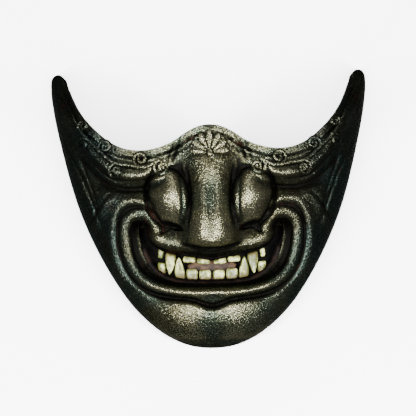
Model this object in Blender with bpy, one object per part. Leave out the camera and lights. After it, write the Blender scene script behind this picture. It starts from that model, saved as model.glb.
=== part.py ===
"""Samurai face guard: a half mask of cast resin with an open, snarling mouth.

The mask lies face up on its flat rear rim, hollow side down, as it would on a table: +X is
the wearer's left, +Y goes up the face and +Z is up. The form is worked out in a face frame
(x across, y up the face, z out of the face), then turned by RIM_TILT onto the rim.
Every size is in metres.
"""
import math

import bmesh
import bpy
import numpy as np

# Shell
FACE_WIDTH = 0.197              # across the two wings, where they reach the ears
FACE_HEIGHT = 0.170             # from the chin's edge to the wing tips
FACE_DEPTH = 0.078              # from the rear rim to the front of the face, without the nose
RIM_TILT = math.radians(12.0)   # the chin's edge stands this much forward of the wing tips
CHIN_ROUND = 0.034              # height over which the chin rolls back to the rim
SIDE_POWER = 2.25               # 2 is a round section, more is squarer at the cheeks
WALL = 0.0035
HALF = FACE_WIDTH / 2

# Mouth
MOUTH_WIDTH = 0.094
MOUTH_FLOOR = 0.0405            # height of the lower lip's edge on the centre line
MOUTH_OPENING = 0.0175          # between the two lips on the centre line
MOUTH_LIFT = 0.0310             # how far the corners rise above the floor
CORNER_WIDTH = 0.009
LIP_ROLL = 0.0056               # how far the lips stand out
LIP_DIP = 0.0060                # how far their edges turn in
LIP_CREST = 0.0046              # from the mouth's edge to the top of the rolled lip
LIP_WIDTH = 0.0038              # half of the roll
LIP_TURN = 0.0022               # how much of the edge turns in
LIP_POINT = 0.0020              # dip of the upper lip on the centre line
LIP_POINT_WIDTH = 0.0090
GROOVE_AT = 0.0094              # from the mouth's edge to the groove round the lower lip
GROOVE_WIDTH = 0.0020
GROOVE_DEPTH = 0.0036
LOWER_POINT = 0.0042            # how far the groove drops in the middle of the lower lip
MOUTH_LAND = 0.0075             # depth of the flat seat behind the lips
LAND_WIDTH = 0.010
LAND_FADE = 0.008               # over which the seat runs out into the wall

# Nose and chin
NOSE_HALF_WIDTH = 0.0185
NOSE_RISE = 0.029
WING_RISE = 0.0205              # how far the nose's two wings stand out
NOSTRIL_DEPTH = 0.0070
CHIN_RISE = 0.0070
CHIN_CLEFT = 0.0010
CLEFT_WIDTH = 0.0070
BLEND = 0.0030                  # radius where one feature meets another
RIM_FADE = 0.008                # height over which the features run out at the chin's edge
FEATURE_REACH = 0.003           # the wall keeps clear of every feature this near

# Mouth pieces, with depths measured down from the smooth face
SEAT_GAP = 0.0005               # clearance between a piece and what it is glued to
ROOT_GAP = 0.0007               # the same under a tooth, whose root is flat on a curved gum
GUM_THICK = 0.0041
GUM_SHOWS = 0.0015              # how much of a gum shows past the lip
GUM_HIDDEN = 0.0040             # how much of it lies behind the lip
GUM_ROUND = 0.0012
GUM_CLEAR = 0.0010              # between the gums and the liner's wall
LINER_THICK = 0.0016
LINER_DRAFT = 0.0004            # the liner's wall narrows by this much to its floor
LINER_FLANGE = 0.0035
LINER_DEPTH = 0.0170            # from the smooth face to the liner's floor
TONGUE_LENGTH = 0.036
TONGUE_HEIGHT = 0.011
TONGUE_GAP = 0.0009             # under the tongue's middle: the liner's floor is made of flat faces

# Strap slots
SLOT_LENGTH = 0.015
SLOT_WIDTH = 0.005
SLOT_HEIGHT = 0.011             # of its middle, above the rear rim
SLOT_FROM_TIP = 0.048           # from the wing's end to the slot's middle, along the rim

# Number of steps in the mesh. Each is even, as the inside has one node for two outside.
COLUMNS_TO_CORNER = 16
COLUMNS_TO_TIP = 20
ROWS_UNDER_MOUTH = 14
ROWS_ACROSS_MOUTH = 6
ROWS_OVER_MOUTH = 24
RELAX_STEPS = 60

# Outlines from the centre line outward, as shares of the half width and of the height
RIM = [
    (0.000, 0.000), (0.140, 0.010), (0.270, 0.042), (0.385, 0.090), (0.500, 0.158),
    (0.600, 0.240), (0.690, 0.330), (0.765, 0.420), (0.830, 0.515), (0.885, 0.620),
    (0.935, 0.735), (0.975, 0.840), (0.997, 0.925), (1.000, 0.962),
]
TOP = [
    (0.000, 0.790), (0.075, 0.784), (0.150, 0.762), (0.225, 0.735), (0.310, 0.716),
    (0.420, 0.707), (0.530, 0.716), (0.620, 0.742), (0.700, 0.783), (0.765, 0.826),
    (0.815, 0.868), (0.857, 0.916), (0.890, 0.962),
]
TIP = [(1.000, 0.962), (0.993, 0.983), (0.972, 0.997), (0.942, 1.000), (0.910, 0.988), (0.890, 0.962)]

# Depth of the face on the centre line: share of height, share of FACE_DEPTH
DEPTHS = [
    (0.00, 0.50), (0.12, 0.53), (0.22, 0.57), (0.30, 0.61), (0.42, 0.69), (0.55, 0.79),
    (0.70, 0.90), (0.79, 0.95), (0.85, 0.90), (0.90, 0.76), (0.95, 0.56), (1.00, 0.40),
]

# Nose, from under its tip to the bridge: share of height, share of rise, share of half width
NOSE = [
    (0.364, 0.00, 0.50), (0.373, 0.46, 0.66), (0.392, 0.86, 0.90), (0.425, 1.00, 1.02),
    (0.460, 0.96, 1.02), (0.520, 0.78, 0.92), (0.590, 0.57, 0.84), (0.660, 0.42, 0.84),
    (0.720, 0.30, 0.95), (0.800, 0.22, 1.20),
]
# Swellings: place, half size (both as shares of the half width and of the height), turn, power
NOSE_WING = ((0.244, 0.532), (0.155, 0.110), -0.32, 0.65)
NOSTRIL = ((0.222, 0.436), (0.082, 0.015), 0.42, 0.7)
CHIN = ((0.0, 0.095), (0.42, 0.150), 0.0, 1.1)

# Folds of the face: path in shares of half width and height, then its width to the left and to
# the right as shares of the half width, and its rise as a share of FACE_DEPTH
FOLDS = {
    "cheekbone": ([(0.14, 0.700), (0.26, 0.655), (0.40, 0.622), (0.55, 0.627), (0.69, 0.685),
                   (0.81, 0.785), (0.925, 0.910)], 0.100, 0.046, 0.104),
    "under the cheekbone": ([(0.21, 0.640), (0.30, 0.598), (0.43, 0.572), (0.58, 0.580),
                             (0.72, 0.637), (0.82, 0.727)], 0.034, 0.042, -0.050),
    "snarl": ([(0.25, 0.455), (0.34, 0.500), (0.43, 0.535), (0.520, 0.530), (0.590, 0.475),
               (0.615, 0.395), (0.595, 0.315), (0.540, 0.250), (0.45, 0.200)], 0.062, 0.036, 0.060),
    "cheek": ([(0.50, 0.575), (0.62, 0.540), (0.705, 0.455), (0.720, 0.360),
               (0.67, 0.270)], 0.060, 0.036, 0.032),
}
TOP_BEAD = (0.022, 0.020)       # the same shares for the bead along the top edge

# Teeth: row, kind, place from the centre line and width as shares of half the mouth's width,
# length as a share of MOUTH_OPENING, thickness as a share of GUM_THICK
TEETH = [
    ("lower", "incisor_inner", 0.0945, 0.173, 0.31, 0.93),
    ("lower", "incisor_outer", 0.2790, 0.172, 0.34, 0.93),
    ("lower", "canine", 0.456, 0.160, 0.70, 0.98),
    ("lower", "molar", 0.742, 0.130, 0.31, 0.93),
    ("upper", "incisor_inner", 0.1035, 0.190, 0.16, 0.93),
    ("upper", "incisor_outer", 0.3035, 0.190, 0.19, 0.93),
    ("upper", "canine", 0.562, 0.165, 0.68, 0.98),
    ("upper", "molar", 0.690, 0.072, 0.30, 0.83),
]


def smooth_step(low, high, value):
    """From 0 at low to 1 at high, with soft ends."""
    t = np.clip((value - low) / (high - low), 0, 1)
    return t * t * (3 - 2 * t)


def soft_max(a, b, blend):
    """The greater of two, rounded where they meet."""
    near = np.maximum(blend - np.abs(a - b), 0) / blend
    return np.maximum(a, b) + near * near * blend / 4


def curve(points, count, mirrored=False):
    """An even row of points on a smooth curve through the given ones (centripetal)."""
    p = np.array(points, float)
    if mirrored:
        p = np.vstack([p[1] * [-1, 1], p])
    else:
        p = np.vstack([2 * p[0] - p[1], p])
    p = np.vstack([p, 2 * p[-1] - p[-2]])
    steps = np.linalg.norm(np.diff(p, axis=0), axis=1) ** 0.5
    knots = np.concatenate([[0], np.cumsum(steps)])
    runs = []
    for i in range(1, len(p) - 2):
        t0, t1, t2, t3 = knots[i - 1:i + 3]
        t = np.linspace(t1, t2, 40, endpoint=False)[:, None]
        a1 = (t1 - t) / (t1 - t0) * p[i - 1] + (t - t0) / (t1 - t0) * p[i]
        a2 = (t2 - t) / (t2 - t1) * p[i] + (t - t1) / (t2 - t1) * p[i + 1]
        a3 = (t3 - t) / (t3 - t2) * p[i + 1] + (t - t2) / (t3 - t2) * p[i + 2]
        b1 = (t2 - t) / (t2 - t0) * a1 + (t - t0) / (t2 - t0) * a2
        b2 = (t3 - t) / (t3 - t1) * a2 + (t - t1) / (t3 - t1) * a3
        runs.append((t2 - t) / (t2 - t1) * b1 + (t - t1) / (t2 - t1) * b2)
    fine = np.vstack(runs + [p[-2:-1]])
    length = np.concatenate([[0], np.cumsum(np.linalg.norm(np.diff(fine, axis=0), axis=1))])
    even = np.linspace(0, length[-1], count)
    return np.column_stack([np.interp(even, length, fine[:, 0]), np.interp(even, length, fine[:, 1])])


def on_face(points):
    """Shares of the half width and of the height, as metres."""
    return np.array(points, float) * [HALF, FACE_HEIGHT]


def along(path, share):
    """The points at the given shares of an even path's length."""
    places = np.linspace(0, 1, len(path))
    return np.stack([np.interp(share, places, path[:, 0]), np.interp(share, places, path[:, 1])], axis=-1)


def along_even(path, share):
    """The points at the given shares of the length of a path with uneven steps."""
    places = np.concatenate([[0], np.cumsum(np.linalg.norm(np.diff(path, axis=0), axis=1))])
    places /= places[-1]
    return np.stack([np.interp(share, places, path[:, 0]), np.interp(share, places, path[:, 1])], axis=-1)


def read(table, value):
    """A smooth curve through a table's rows, read at a value."""
    line = curve(table, 400)
    return np.interp(value, line[:, 0], line[:, 1])


def nearest(x, y, path):
    """Distance to a path, positive on its left, and the share of its length where it is nearest."""
    seg = path[1:] - path[:-1]
    length = np.maximum(np.linalg.norm(seg, axis=1), 1e-12)
    start = np.concatenate([[0], np.cumsum(length)[:-1]])
    best = np.full(x.shape, 1e9)
    side = np.ones(x.shape)
    place = np.zeros(x.shape)
    for i, (dx, dy) in enumerate(seg):
        px, py = x - path[i, 0], y - path[i, 1]
        t = np.clip((px * dx + py * dy) / length[i] ** 2, 0, 1)
        d = np.hypot(px - t * dx, py - t * dy)
        closer = d < best
        best = np.where(closer, d, best)
        side = np.where(closer, np.sign(dx * py - dy * px + 1e-15), side)
        place = np.where(closer, start[i] + t * length[i], place)
    return best * side, place / length.sum()


RIM_CURVE = curve(on_face(RIM), 1200, mirrored=True)
TOP_CURVE = curve(on_face(TOP), 1200, mirrored=True)
TIP_CURVE = curve(on_face(TIP), 200)
FOLD_CURVES = [(curve(on_face(path), 60), left * HALF, right * HALF, rise * FACE_DEPTH)
               for path, left, right, rise in FOLDS.values()]


def rim_height(y):
    """The rear rim's plane."""
    return (FACE_HEIGHT - y) * math.tan(RIM_TILT)


def smooth_face(x, y):
    """The face without its features: an egg-shaped bowl that stands square on the rim."""
    half = np.maximum(np.interp(y, RIM_CURVE[:, 1], RIM_CURVE[:, 0]), 1e-6)
    out = np.clip(np.abs(x) / half, 0, 1)
    chin = np.clip(y / CHIN_ROUND, 0, 1)
    depth = FACE_DEPTH * read(DEPTHS, y / FACE_HEIGHT) * (1 - (1 - chin) ** 2.3) ** 0.5
    return rim_height(y) + depth * (1 - out ** SIDE_POWER) ** 0.5


def lower_lip(q):
    """The lower lip's edge, from the centre line at 0 to the corner at 1."""
    a = q * math.pi / 2
    return np.stack([MOUTH_WIDTH / 2 * np.sin(a), MOUTH_FLOOR + MOUTH_LIFT * (1 - np.cos(a)) ** 1.8], axis=-1)


def upper_lip(q):
    """The upper lip's edge, from the centre line at 0 to the corner at 1."""
    a = q * math.pi / 2
    x = (MOUTH_WIDTH / 2 - CORNER_WIDTH) * np.sin(a)
    rise = (MOUTH_LIFT - MOUTH_OPENING) * (1 - np.cos(a)) ** 1.7
    point = LIP_POINT * np.exp(-(x / LIP_POINT_WIDTH) ** 2)
    return np.stack([x, MOUTH_FLOOR + MOUTH_OPENING + rise - point], axis=-1)


def round_corner(a):
    """The mouth's round corner, from the lower lip at angle 0 to the upper lip at pi."""
    r = CORNER_WIDTH / 2
    x = MOUTH_WIDTH / 2 - r + r * np.cos(a)
    y = MOUTH_FLOOR + MOUTH_LIFT + 1.3 * r * np.sin(a)
    return np.stack([x, y], axis=-1)


# Half of the mouth's edge in three parts: the corner ends where the cheek's lines leave it
LIP_STEPS = np.linspace(0, 1, 60)
CORNER_END = math.radians(125)
LOWER_EDGE = lower_lip(LIP_STEPS)
CORNER_EDGE = round_corner(np.linspace(0, CORNER_END, 20))
UPPER_EDGE = np.vstack([upper_lip(LIP_STEPS), round_corner(np.linspace(math.pi, CORNER_END, 8))[1:]])


def mouth_outline(lip_steps, corner_steps):
    """Half of the mouth's edge: along the lower lip, round the corner and back along the upper lip."""
    q = np.linspace(0, 1, lip_steps + 1)
    corner = along(CORNER_EDGE, np.linspace(0, 1, corner_steps + 1))[1:-1]
    return np.vstack([along_even(LOWER_EDGE, q), corner, along_even(UPPER_EDGE, q)[::-1]])


MOUTH_EDGE = mouth_outline(49, 13)


def nose(x, y):
    """The ridge of the nose, and the overhang of its tip."""
    h = y / FACE_HEIGHT
    rise = np.where(h < NOSE[0][0], 0, read([(at, r) for at, r, w in NOSE], h))
    half = NOSE_HALF_WIDTH * read([(at, w) for at, r, w in NOSE], h)
    return NOSE_RISE * np.maximum(rise, 0) * np.exp(-(np.abs(x) / (0.94 * half)) ** 2.6)


def lump(x, y, at, size, turn, power):
    """A rounded swelling of height 1; its place and size are shares of the half width and height."""
    c, s = math.cos(turn), math.sin(turn)
    dx, dy = x - at[0] * HALF, y - at[1] * FACE_HEIGHT
    u = (dx * c + dy * s) / (size[0] * HALF)
    v = (dy * c - dx * s) / (size[1] * FACE_HEIGHT)
    return np.clip(1 - u * u - v * v, 0, 1) ** power


def fold(x, y, path, left, right, rise):
    """A ridge or a groove that follows a path and fades at both ends."""
    d, place = nearest(x, y, path)
    fade = smooth_step(0, 1, np.minimum(place, 1 - place) / 0.18)
    return rise * fade * np.exp(-np.abs(d / np.where(d > 0, left, right)) ** 1.8)


def lips(x, y):
    """The rolled lips, with edges that turn in and a groove round the lower one."""
    d, place = nearest(x, y, MOUTH_EDGE)
    d = np.abs(d)
    upper = smooth_step(0.56, 0.72, place)
    lower = 1 - smooth_step(0.22, 0.42, place)
    beside_corner = 1 - upper - lower
    # the upper roll is broad, the lower one hangs in a point, and both flatten round the corner
    crest = LIP_CREST * (1 + 0.2 * upper - 0.1 * lower)
    width = LIP_WIDTH * (1 + 0.6 * upper + 0.5 * beside_corner - 0.1 * lower)
    rise = LIP_ROLL * (1 - 0.2 * lower - 0.3 * beside_corner)
    roll = rise * np.exp(-np.abs((d - crest) / width) ** 2.2)
    turned_in = -LIP_DIP * np.exp(-(d / LIP_TURN) ** 1.5)
    point = LOWER_POINT * np.exp(-(x / LIP_POINT_WIDTH) ** 2)
    beside = GROOVE_AT * (1 - 0.08 * lower) + point * lower
    depth = GROOVE_DEPTH * (1 - smooth_step(0.60, 0.74, place)) * (1 - 0.6 * beside_corner)
    groove = GROOVE_WIDTH * (1 - 0.4 * beside_corner)
    return roll + turned_in - depth * np.exp(-((d - beside) / groove) ** 2)


def features(x, y):
    """How far the face stands out of, or dips under, the smooth one."""
    ax = np.abs(x)
    nostril = NOSTRIL_DEPTH * lump(ax, y, *NOSTRIL)
    raised = soft_max(nose(x, y), WING_RISE * lump(ax, y, *NOSE_WING), BLEND) - nostril
    cleft = CHIN_CLEFT / CHIN_RISE * np.exp(-(x / CLEFT_WIDTH) ** 2)
    raised = raised + CHIN_RISE * lump(x, y, *CHIN) * (1 - cleft)
    folds = sum(fold(ax, y, *row) for row in FOLD_CURVES)
    bead_width, bead_rise = TOP_BEAD[0] * HALF, TOP_BEAD[1] * FACE_DEPTH
    from_top = np.abs(nearest(ax, y, TOP_CURVE[::20])[0])
    folds = folds + bead_rise * np.exp(-(from_top / bead_width) ** 1.8)
    raised = soft_max(raised, folds, BLEND) + np.minimum(folds, 0) + lips(ax, y)
    half = np.maximum(np.interp(y, RIM_CURVE[:, 1], RIM_CURVE[:, 0]), 1e-6)
    near_rim = smooth_step(0, 0.10, 1 - np.clip(ax / half, 0, 1))
    return raised * near_rim * np.clip(y / RIM_FADE, 0, 1)


def lowest_features(x, y, reach):
    """The lowest feature within reach of each point, so that the wall is nowhere too thin."""
    found = features(x, y)
    for k in range(8):
        a = k * math.pi / 4
        found = np.minimum(found, features(x + reach * math.cos(a), y + reach * math.sin(a)))
    return found


def under(x, y, depth):
    """Points at a depth under the smooth face, measured square to it."""
    h = 0.0005
    z = smooth_face(x, y)
    slope_x = (smooth_face(x + h, y) - smooth_face(x - h, y)) / (2 * h)
    slope_y = (smooth_face(x, y + h) - smooth_face(x, y - h)) / (2 * h)
    normal = np.stack([-slope_x, -slope_y, np.ones_like(z)], axis=-1)
    normal /= np.linalg.norm(normal, axis=-1, keepdims=True)
    return np.stack([x, y, z], axis=-1) - np.asarray(depth)[..., None] * normal


def face_plan():
    """The plan of the half face's mesh, in rows from rim to top edge, and the corner's column."""
    to_corner = np.linspace(0, 0.5, COLUMNS_TO_CORNER + 1)
    to_tip = 0.5 + 0.5 * (np.arange(1, COLUMNS_TO_TIP + 1) / COLUMNS_TO_TIP) ** 1.35
    s = np.concatenate([to_corner, to_tip])
    rim, top = along(RIM_CURVE, s), along(TOP_CURVE, s)
    q = np.clip(s / 0.5, 0, 1)
    low, high = along_even(LOWER_EDGE, q), along_even(UPPER_EDGE, q)
    # past the corner, the two middle lines swing over to fixed shares of the wing's width
    c = COLUMNS_TO_CORNER
    away = (1 - np.clip((s - 0.5) / 0.5, 0, 1))[:, None] ** 2
    low_line = rim + (top - rim) * 0.36
    high_line = rim + (top - rim) * 0.56
    past = (s > 0.5)[:, None]
    low = np.where(past, low_line + (low[c] - low_line[c]) * away, low)
    high = np.where(past, high_line + (high[c] - high_line[c]) * away, high)

    i = np.arange(ROWS_UNDER_MOUTH) / ROWS_UNDER_MOUTH
    chin = 0.3 * (1 - np.cos(math.pi * i)) + 0.4 * i
    mouth = np.arange(ROWS_ACROSS_MOUTH) / ROWS_ACROSS_MOUTH
    brow = (np.arange(ROWS_OVER_MOUTH + 1) / ROWS_OVER_MOUTH) ** 1.35
    rows = [rim + (low - rim) * t for t in chin]
    rows += [low + (high - low) * t for t in mouth]
    rows += [high + (top - high) * t for t in brow]
    plan = np.array(rows)
    # the corner's roundness fades out along the cheek
    rows = slice(ROWS_UNDER_MOUTH, ROWS_UNDER_MOUTH + ROWS_ACROSS_MOUTH)
    bulge = along(CORNER_EDGE, mouth) - plan[rows, c]
    plan[rows, c:] += bulge[:, None] * away[c:] ** 2
    plan[:, -1] = along(TIP_CURVE, np.linspace(0, 1, len(plan)))
    return relaxed(plan)


def relaxed(plan):
    """The plan with its kinks eased out: its borders, the wings and the mouth's edge stay."""
    by_rim = np.clip((np.arange(len(plan)) - 1) / 4, 0, 1)
    by_wing = smooth_step(COLUMNS_TO_CORNER + 12, COLUMNS_TO_CORNER + 4, np.arange(plan.shape[1]))
    free = by_rim[:, None] * by_wing
    free[-1] = 0
    free[ROWS_UNDER_MOUTH:ROWS_UNDER_MOUTH + ROWS_ACROSS_MOUTH + 1, :COLUMNS_TO_CORNER + 1] = 0
    for _ in range(RELAX_STEPS):
        beside = np.concatenate([plan[:, 1:2] * [-1, 1], plan, plan[:, -1:]], axis=1)
        above = np.concatenate([plan[:1], plan, plan[-1:]])
        middle = (beside[:, :-2] + beside[:, 2:] + above[:-2] + above[2:]) / 4
        plan = plan + free[..., None] * (middle - plan)
    return plan


def both_sides(half):
    """A half grid with its mirror image on the left."""
    return np.concatenate([half[:, :0:-1] * [-1, 1, 1], half], axis=1)


def grid_normals(grid):
    """Unit normals of a grid of points."""
    across = np.gradient(grid, axis=1)
    up = np.gradient(grid, axis=0)
    normal = np.cross(across, up)
    return normal / np.linalg.norm(normal, axis=-1, keepdims=True)


def shell_grids():
    """The outside of the shell, and the inside at every second node."""
    plan = face_plan()
    x, y = plan[..., 0], plan[..., 1]
    z = smooth_face(x, y)
    outside = both_sides(np.stack([x, y, z + features(x, y)], axis=-1))
    bowl = both_sides(np.stack([x, y, z], axis=-1))
    normal = grid_normals(bowl)[::2, ::2]
    bowl = bowl[::2, ::2]
    bx, by = bowl[..., 0], bowl[..., 1]
    depth = WALL - lowest_features(bx, by, FEATURE_REACH) * normal[..., 2]
    from_mouth = np.abs(nearest(np.abs(bx), by, MOUTH_EDGE)[0])
    land = 1 - smooth_step(LAND_WIDTH, LAND_WIDTH + LAND_FADE, from_mouth)
    depth = depth + (MOUTH_LAND - depth) * land
    inside = bowl - depth[..., None] * normal
    # the inside ends on the rim's plane, and stays clear of it where the wings are thin
    plane = rim_height(inside[..., 1])
    half_way = (outside[::2, ::2, 2] - rim_height(outside[::2, ::2, 1])) / 2
    inside[..., 2] = np.maximum(inside[..., 2], plane + half_way)
    inside[0, :, 2] = plane[0]
    return outside, inside


def onto_rim(points):
    """From the face frame to the lying one, where the rim is level at z = 0."""
    c, s = math.cos(RIM_TILT), math.sin(RIM_TILT)
    p = np.asarray(points, float)
    y, z = p[..., 1], p[..., 2]
    return np.stack([p[..., 0], y * c - z * s, y * s + z * c - FACE_HEIGHT * s], axis=-1)


def paint(name, colour, metallic, roughness):
    """A plain material."""
    material = bpy.data.materials.new(name)
    material.use_nodes = True
    surface = material.node_tree.nodes["Principled BSDF"]
    surface.inputs["Base Color"].default_value = (*colour, 1.0)
    surface.inputs["Metallic"].default_value = metallic
    surface.inputs["Roughness"].default_value = roughness
    material.diffuse_color = (*colour, 1.0)
    return material


def solid(name, points, faces, material):
    """A closed mesh object of triangles with its normals facing out."""
    mesh = bpy.data.meshes.new(name)
    mesh.from_pydata([tuple(p) for p in points], [], faces)
    bm = bmesh.new()
    bm.from_mesh(mesh)
    bmesh.ops.triangulate(bm, faces=bm.faces, quad_method="SHORT_EDGE")
    bmesh.ops.recalc_face_normals(bm, faces=bm.faces)
    if bm.calc_volume(signed=True) < 0:
        bmesh.ops.reverse_faces(bm, faces=bm.faces)
    bm.to_mesh(mesh)
    bm.free()
    mesh.shade_smooth()
    mesh.materials.append(material)
    made = bpy.data.objects.new(name, mesh)
    bpy.context.scene.collection.objects.link(made)
    return made


def edge_strip(outer, inner):
    """Triangles between a line of nodes and one with half as many."""
    faces = []
    for i in range(len(inner) - 1):
        a, b, c = outer[2 * i:2 * i + 3]
        d, e = inner[i:i + 2]
        faces += [(a, b, d), (b, e, d), (b, c, e)]
    return faces


def face_shell(shift, material):
    """The cast shell: one wall, open behind, with the mouth cut through."""
    outside, inside = shell_grids()
    rows, cols = outside.shape[:2]
    in_rows, in_cols = inside.shape[:2]
    points = np.vstack([outside.reshape(-1, 3), inside.reshape(-1, 3)])
    mid, corner = cols // 2, COLUMNS_TO_CORNER
    mouth_low, mouth_high = ROWS_UNDER_MOUTH, ROWS_UNDER_MOUTH + ROWS_ACROSS_MOUTH

    def out_node(r, c):
        return r * cols + c

    def in_node(r, c):
        return rows * cols + r * in_cols + c

    def in_mouth(r, c):
        return mouth_low <= r < mouth_high and mid - corner <= c < mid + corner

    faces = []
    for r in range(rows - 1):
        for c in range(cols - 1):
            if not in_mouth(r, c):
                faces.append((out_node(r, c), out_node(r, c + 1), out_node(r + 1, c + 1), out_node(r + 1, c)))
    for r in range(in_rows - 1):
        for c in range(in_cols - 1):
            if not in_mouth(2 * r, 2 * c):
                faces.append((in_node(r, c), in_node(r + 1, c), in_node(r + 1, c + 1), in_node(r, c + 1)))

    def border(low, high, left, right):
        outer = [out_node(low, c) for c in range(left, right)]
        outer += [out_node(r, right) for r in range(low, high)]
        outer += [out_node(high, c) for c in range(right, left, -1)]
        outer += [out_node(r, left) for r in range(high, low, -1)]
        inner = [in_node(low // 2, c) for c in range(left // 2, right // 2)]
        inner += [in_node(r, right // 2) for r in range(low // 2, high // 2)]
        inner += [in_node(high // 2, c) for c in range(right // 2, left // 2, -1)]
        inner += [in_node(r, left // 2) for r in range(high // 2, low // 2, -1)]
        return edge_strip(outer + outer[:1], inner + inner[:1])

    faces += border(0, rows - 1, 0, cols - 1)
    faces += border(mouth_low, mouth_high, mid - corner, mid + corner)
    points = onto_rim(points) + shift
    used = sorted({n for face in faces for n in face})
    place = {n: i for i, n in enumerate(used)}
    faces = [tuple(place[n] for n in face) for face in faces]
    return solid("face_shell", points[used], faces, material)


def slot_cutter(side, middle, material):
    """A rounded prism that passes straight through one side wall."""
    steps = 8
    ring = []
    for end in (1, -1):
        for k in range(steps + 1):
            a = math.pi * k / steps
            along_slot = end * ((SLOT_LENGTH - SLOT_WIDTH) / 2 + SLOT_WIDTH / 2 * math.sin(a))
            ring.append((along_slot, end * SLOT_WIDTH / 2 * math.cos(a)))
    points = [(side * x, middle + u, SLOT_HEIGHT + v) for x in (0.75 * HALF, 1.1 * HALF) for u, v in ring]
    n = len(ring)
    faces = [tuple(range(n)), tuple(range(2 * n - 1, n - 1, -1))]
    faces += [(i, i + n, (i + 1) % n + n, (i + 1) % n) for i in range(n)]
    cutter = solid("slot_cutter", points, faces, material)
    cutter.hide_render = True
    cutter.display_type = "WIRE"
    return cutter


def cut(body, tool):
    """Take the tool's shape out of the body, then remove the tool."""
    change = body.modifiers.new("cut", "BOOLEAN")
    change.operation = "DIFFERENCE"
    change.solver = "EXACT"
    change.object = tool
    bpy.context.view_layer.objects.active = body
    bpy.ops.object.modifier_apply(modifier=change.name)
    bpy.data.objects.remove(tool)


def loops(rings, closed_start=True, closed_end=True):
    """Points and faces of a tube through rings of equal counts, its ends closed by one face each."""
    n = len(rings[0])
    points = np.vstack(rings)
    faces = []
    for r in range(len(rings) - 1):
        for i in range(n):
            j = (i + 1) % n
            faces.append((r * n + i, r * n + j, (r + 1) * n + j, (r + 1) * n + i))
    if closed_start:
        faces.append(tuple(range(n - 1, -1, -1)))
    if closed_end:
        faces.append(tuple(range((len(rings) - 1) * n, len(rings) * n)))
    return points, faces


def plan_normals(path):
    """Unit normals of a path in the face's plan, on its left."""
    t = np.gradient(path, axis=0)
    t /= np.linalg.norm(t, axis=1, keepdims=True)
    return np.column_stack([-t[:, 1], t[:, 0]])


def mouth_liner(shift, material):
    """The dark tray that closes the mouth behind: a flange on the shell's seat, a wall and a floor."""
    half = mouth_outline(12, 4)
    out = -plan_normals(half)
    out[0], out[-1] = (0, -1), (0, 1)
    edge = np.vstack([half, half[-2:0:-1] * [-1, 1]])
    out = np.vstack([out, out[-2:0:-1] * [-1, 1]])
    seat = MOUTH_LAND + SEAT_GAP
    inner = GUM_HIDDEN + GUM_CLEAR
    rows = [
        # outward from the mouth's edge, depth
        (inner - LINER_DRAFT, LINER_DEPTH),
        (inner, seat),
        (inner + LINER_FLANGE, seat),
        (inner + LINER_FLANGE, seat + LINER_THICK),
        (inner + LINER_THICK, seat + LINER_THICK),
        (inner + LINER_THICK - LINER_DRAFT, LINER_DEPTH + LINER_THICK),
    ]
    rings = []
    for away, depth in rows:
        p = edge + out * away
        rings.append(under(p[:, 0], p[:, 1], np.full(len(p), depth)))
    points, faces = loops(rings, False, False)
    n = len(edge)
    last = (len(rings) - 1) * n
    h = len(half) - 1
    # the floor goes across from the lower half of the ring to the upper half
    for start, turned in ((0, True), (last, False)):
        left = [(n - k) % n for k in range(h // 2 + 1)]
        for side, sign in ((list(range(h // 2 + 1)), 1), (left, -1)):
            for k in range(h // 2):
                a, b = side[k], side[k + 1]
                c, d = (h - k - 1) * sign % n, (h - k) * sign % n
                quad = (start + a, start + b, start + c, start + d)
                faces.append(tuple(dict.fromkeys(quad)))
    return solid("mouth_liner", onto_rim(points) + shift, faces, material)


def gum(row, shift, material):
    """A curved bar behind one lip, glued to the shell's seat."""
    q = np.linspace(0, 0.86, 12)
    path = lower_lip(q) if row == "lower" else upper_lip(q)
    path = np.vstack([path[:0:-1] * [-1, 1], path])
    into = plan_normals(path) * (1 if row == "lower" else -1)
    front, back = MOUTH_LAND + SEAT_GAP, MOUTH_LAND + SEAT_GAP + GUM_THICK
    r = GUM_ROUND
    section = [
        # into the mouth's opening, depth
        (-GUM_HIDDEN, front), (GUM_SHOWS - r, front), (GUM_SHOWS, front + r), (GUM_SHOWS, back - r),
        (GUM_SHOWS - r, back), (-GUM_HIDDEN, back),
    ]
    rings = []
    for at, side in zip(path, into):
        p = np.array([at + side * share for share, depth in section])
        rings.append(under(p[:, 0], p[:, 1], np.array([depth for share, depth in section])))
    points, faces = loops(rings)
    return solid(f"{row}_gum", onto_rim(points) + shift, faces, material)


def tongue(shift, material):
    """A low, rounded tongue on the liner's floor, clear of the gums' backs."""
    middle = MOUTH_FLOOR + MOUTH_OPENING * 0.42
    back = LINER_DEPTH - TONGUE_GAP
    front = MOUTH_LAND + 2.4 * SEAT_GAP + GUM_THICK
    rings = []
    for k in range(1, 10):
        a = math.pi * k / 10
        width = math.sin(a) ** 0.6
        around = np.arange(12) * math.tau / 12
        x = np.full(12, -TONGUE_LENGTH / 2 * math.cos(a))
        y = middle + TONGUE_HEIGHT / 2 * width * np.cos(around)
        depth = (front + back) / 2 + (back - front) / 2 * width * np.sin(around)
        rings.append(under(x, y, depth))
    points, faces = loops(rings)
    return solid("tongue", onto_rim(points) + shift, faces, material)


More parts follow.
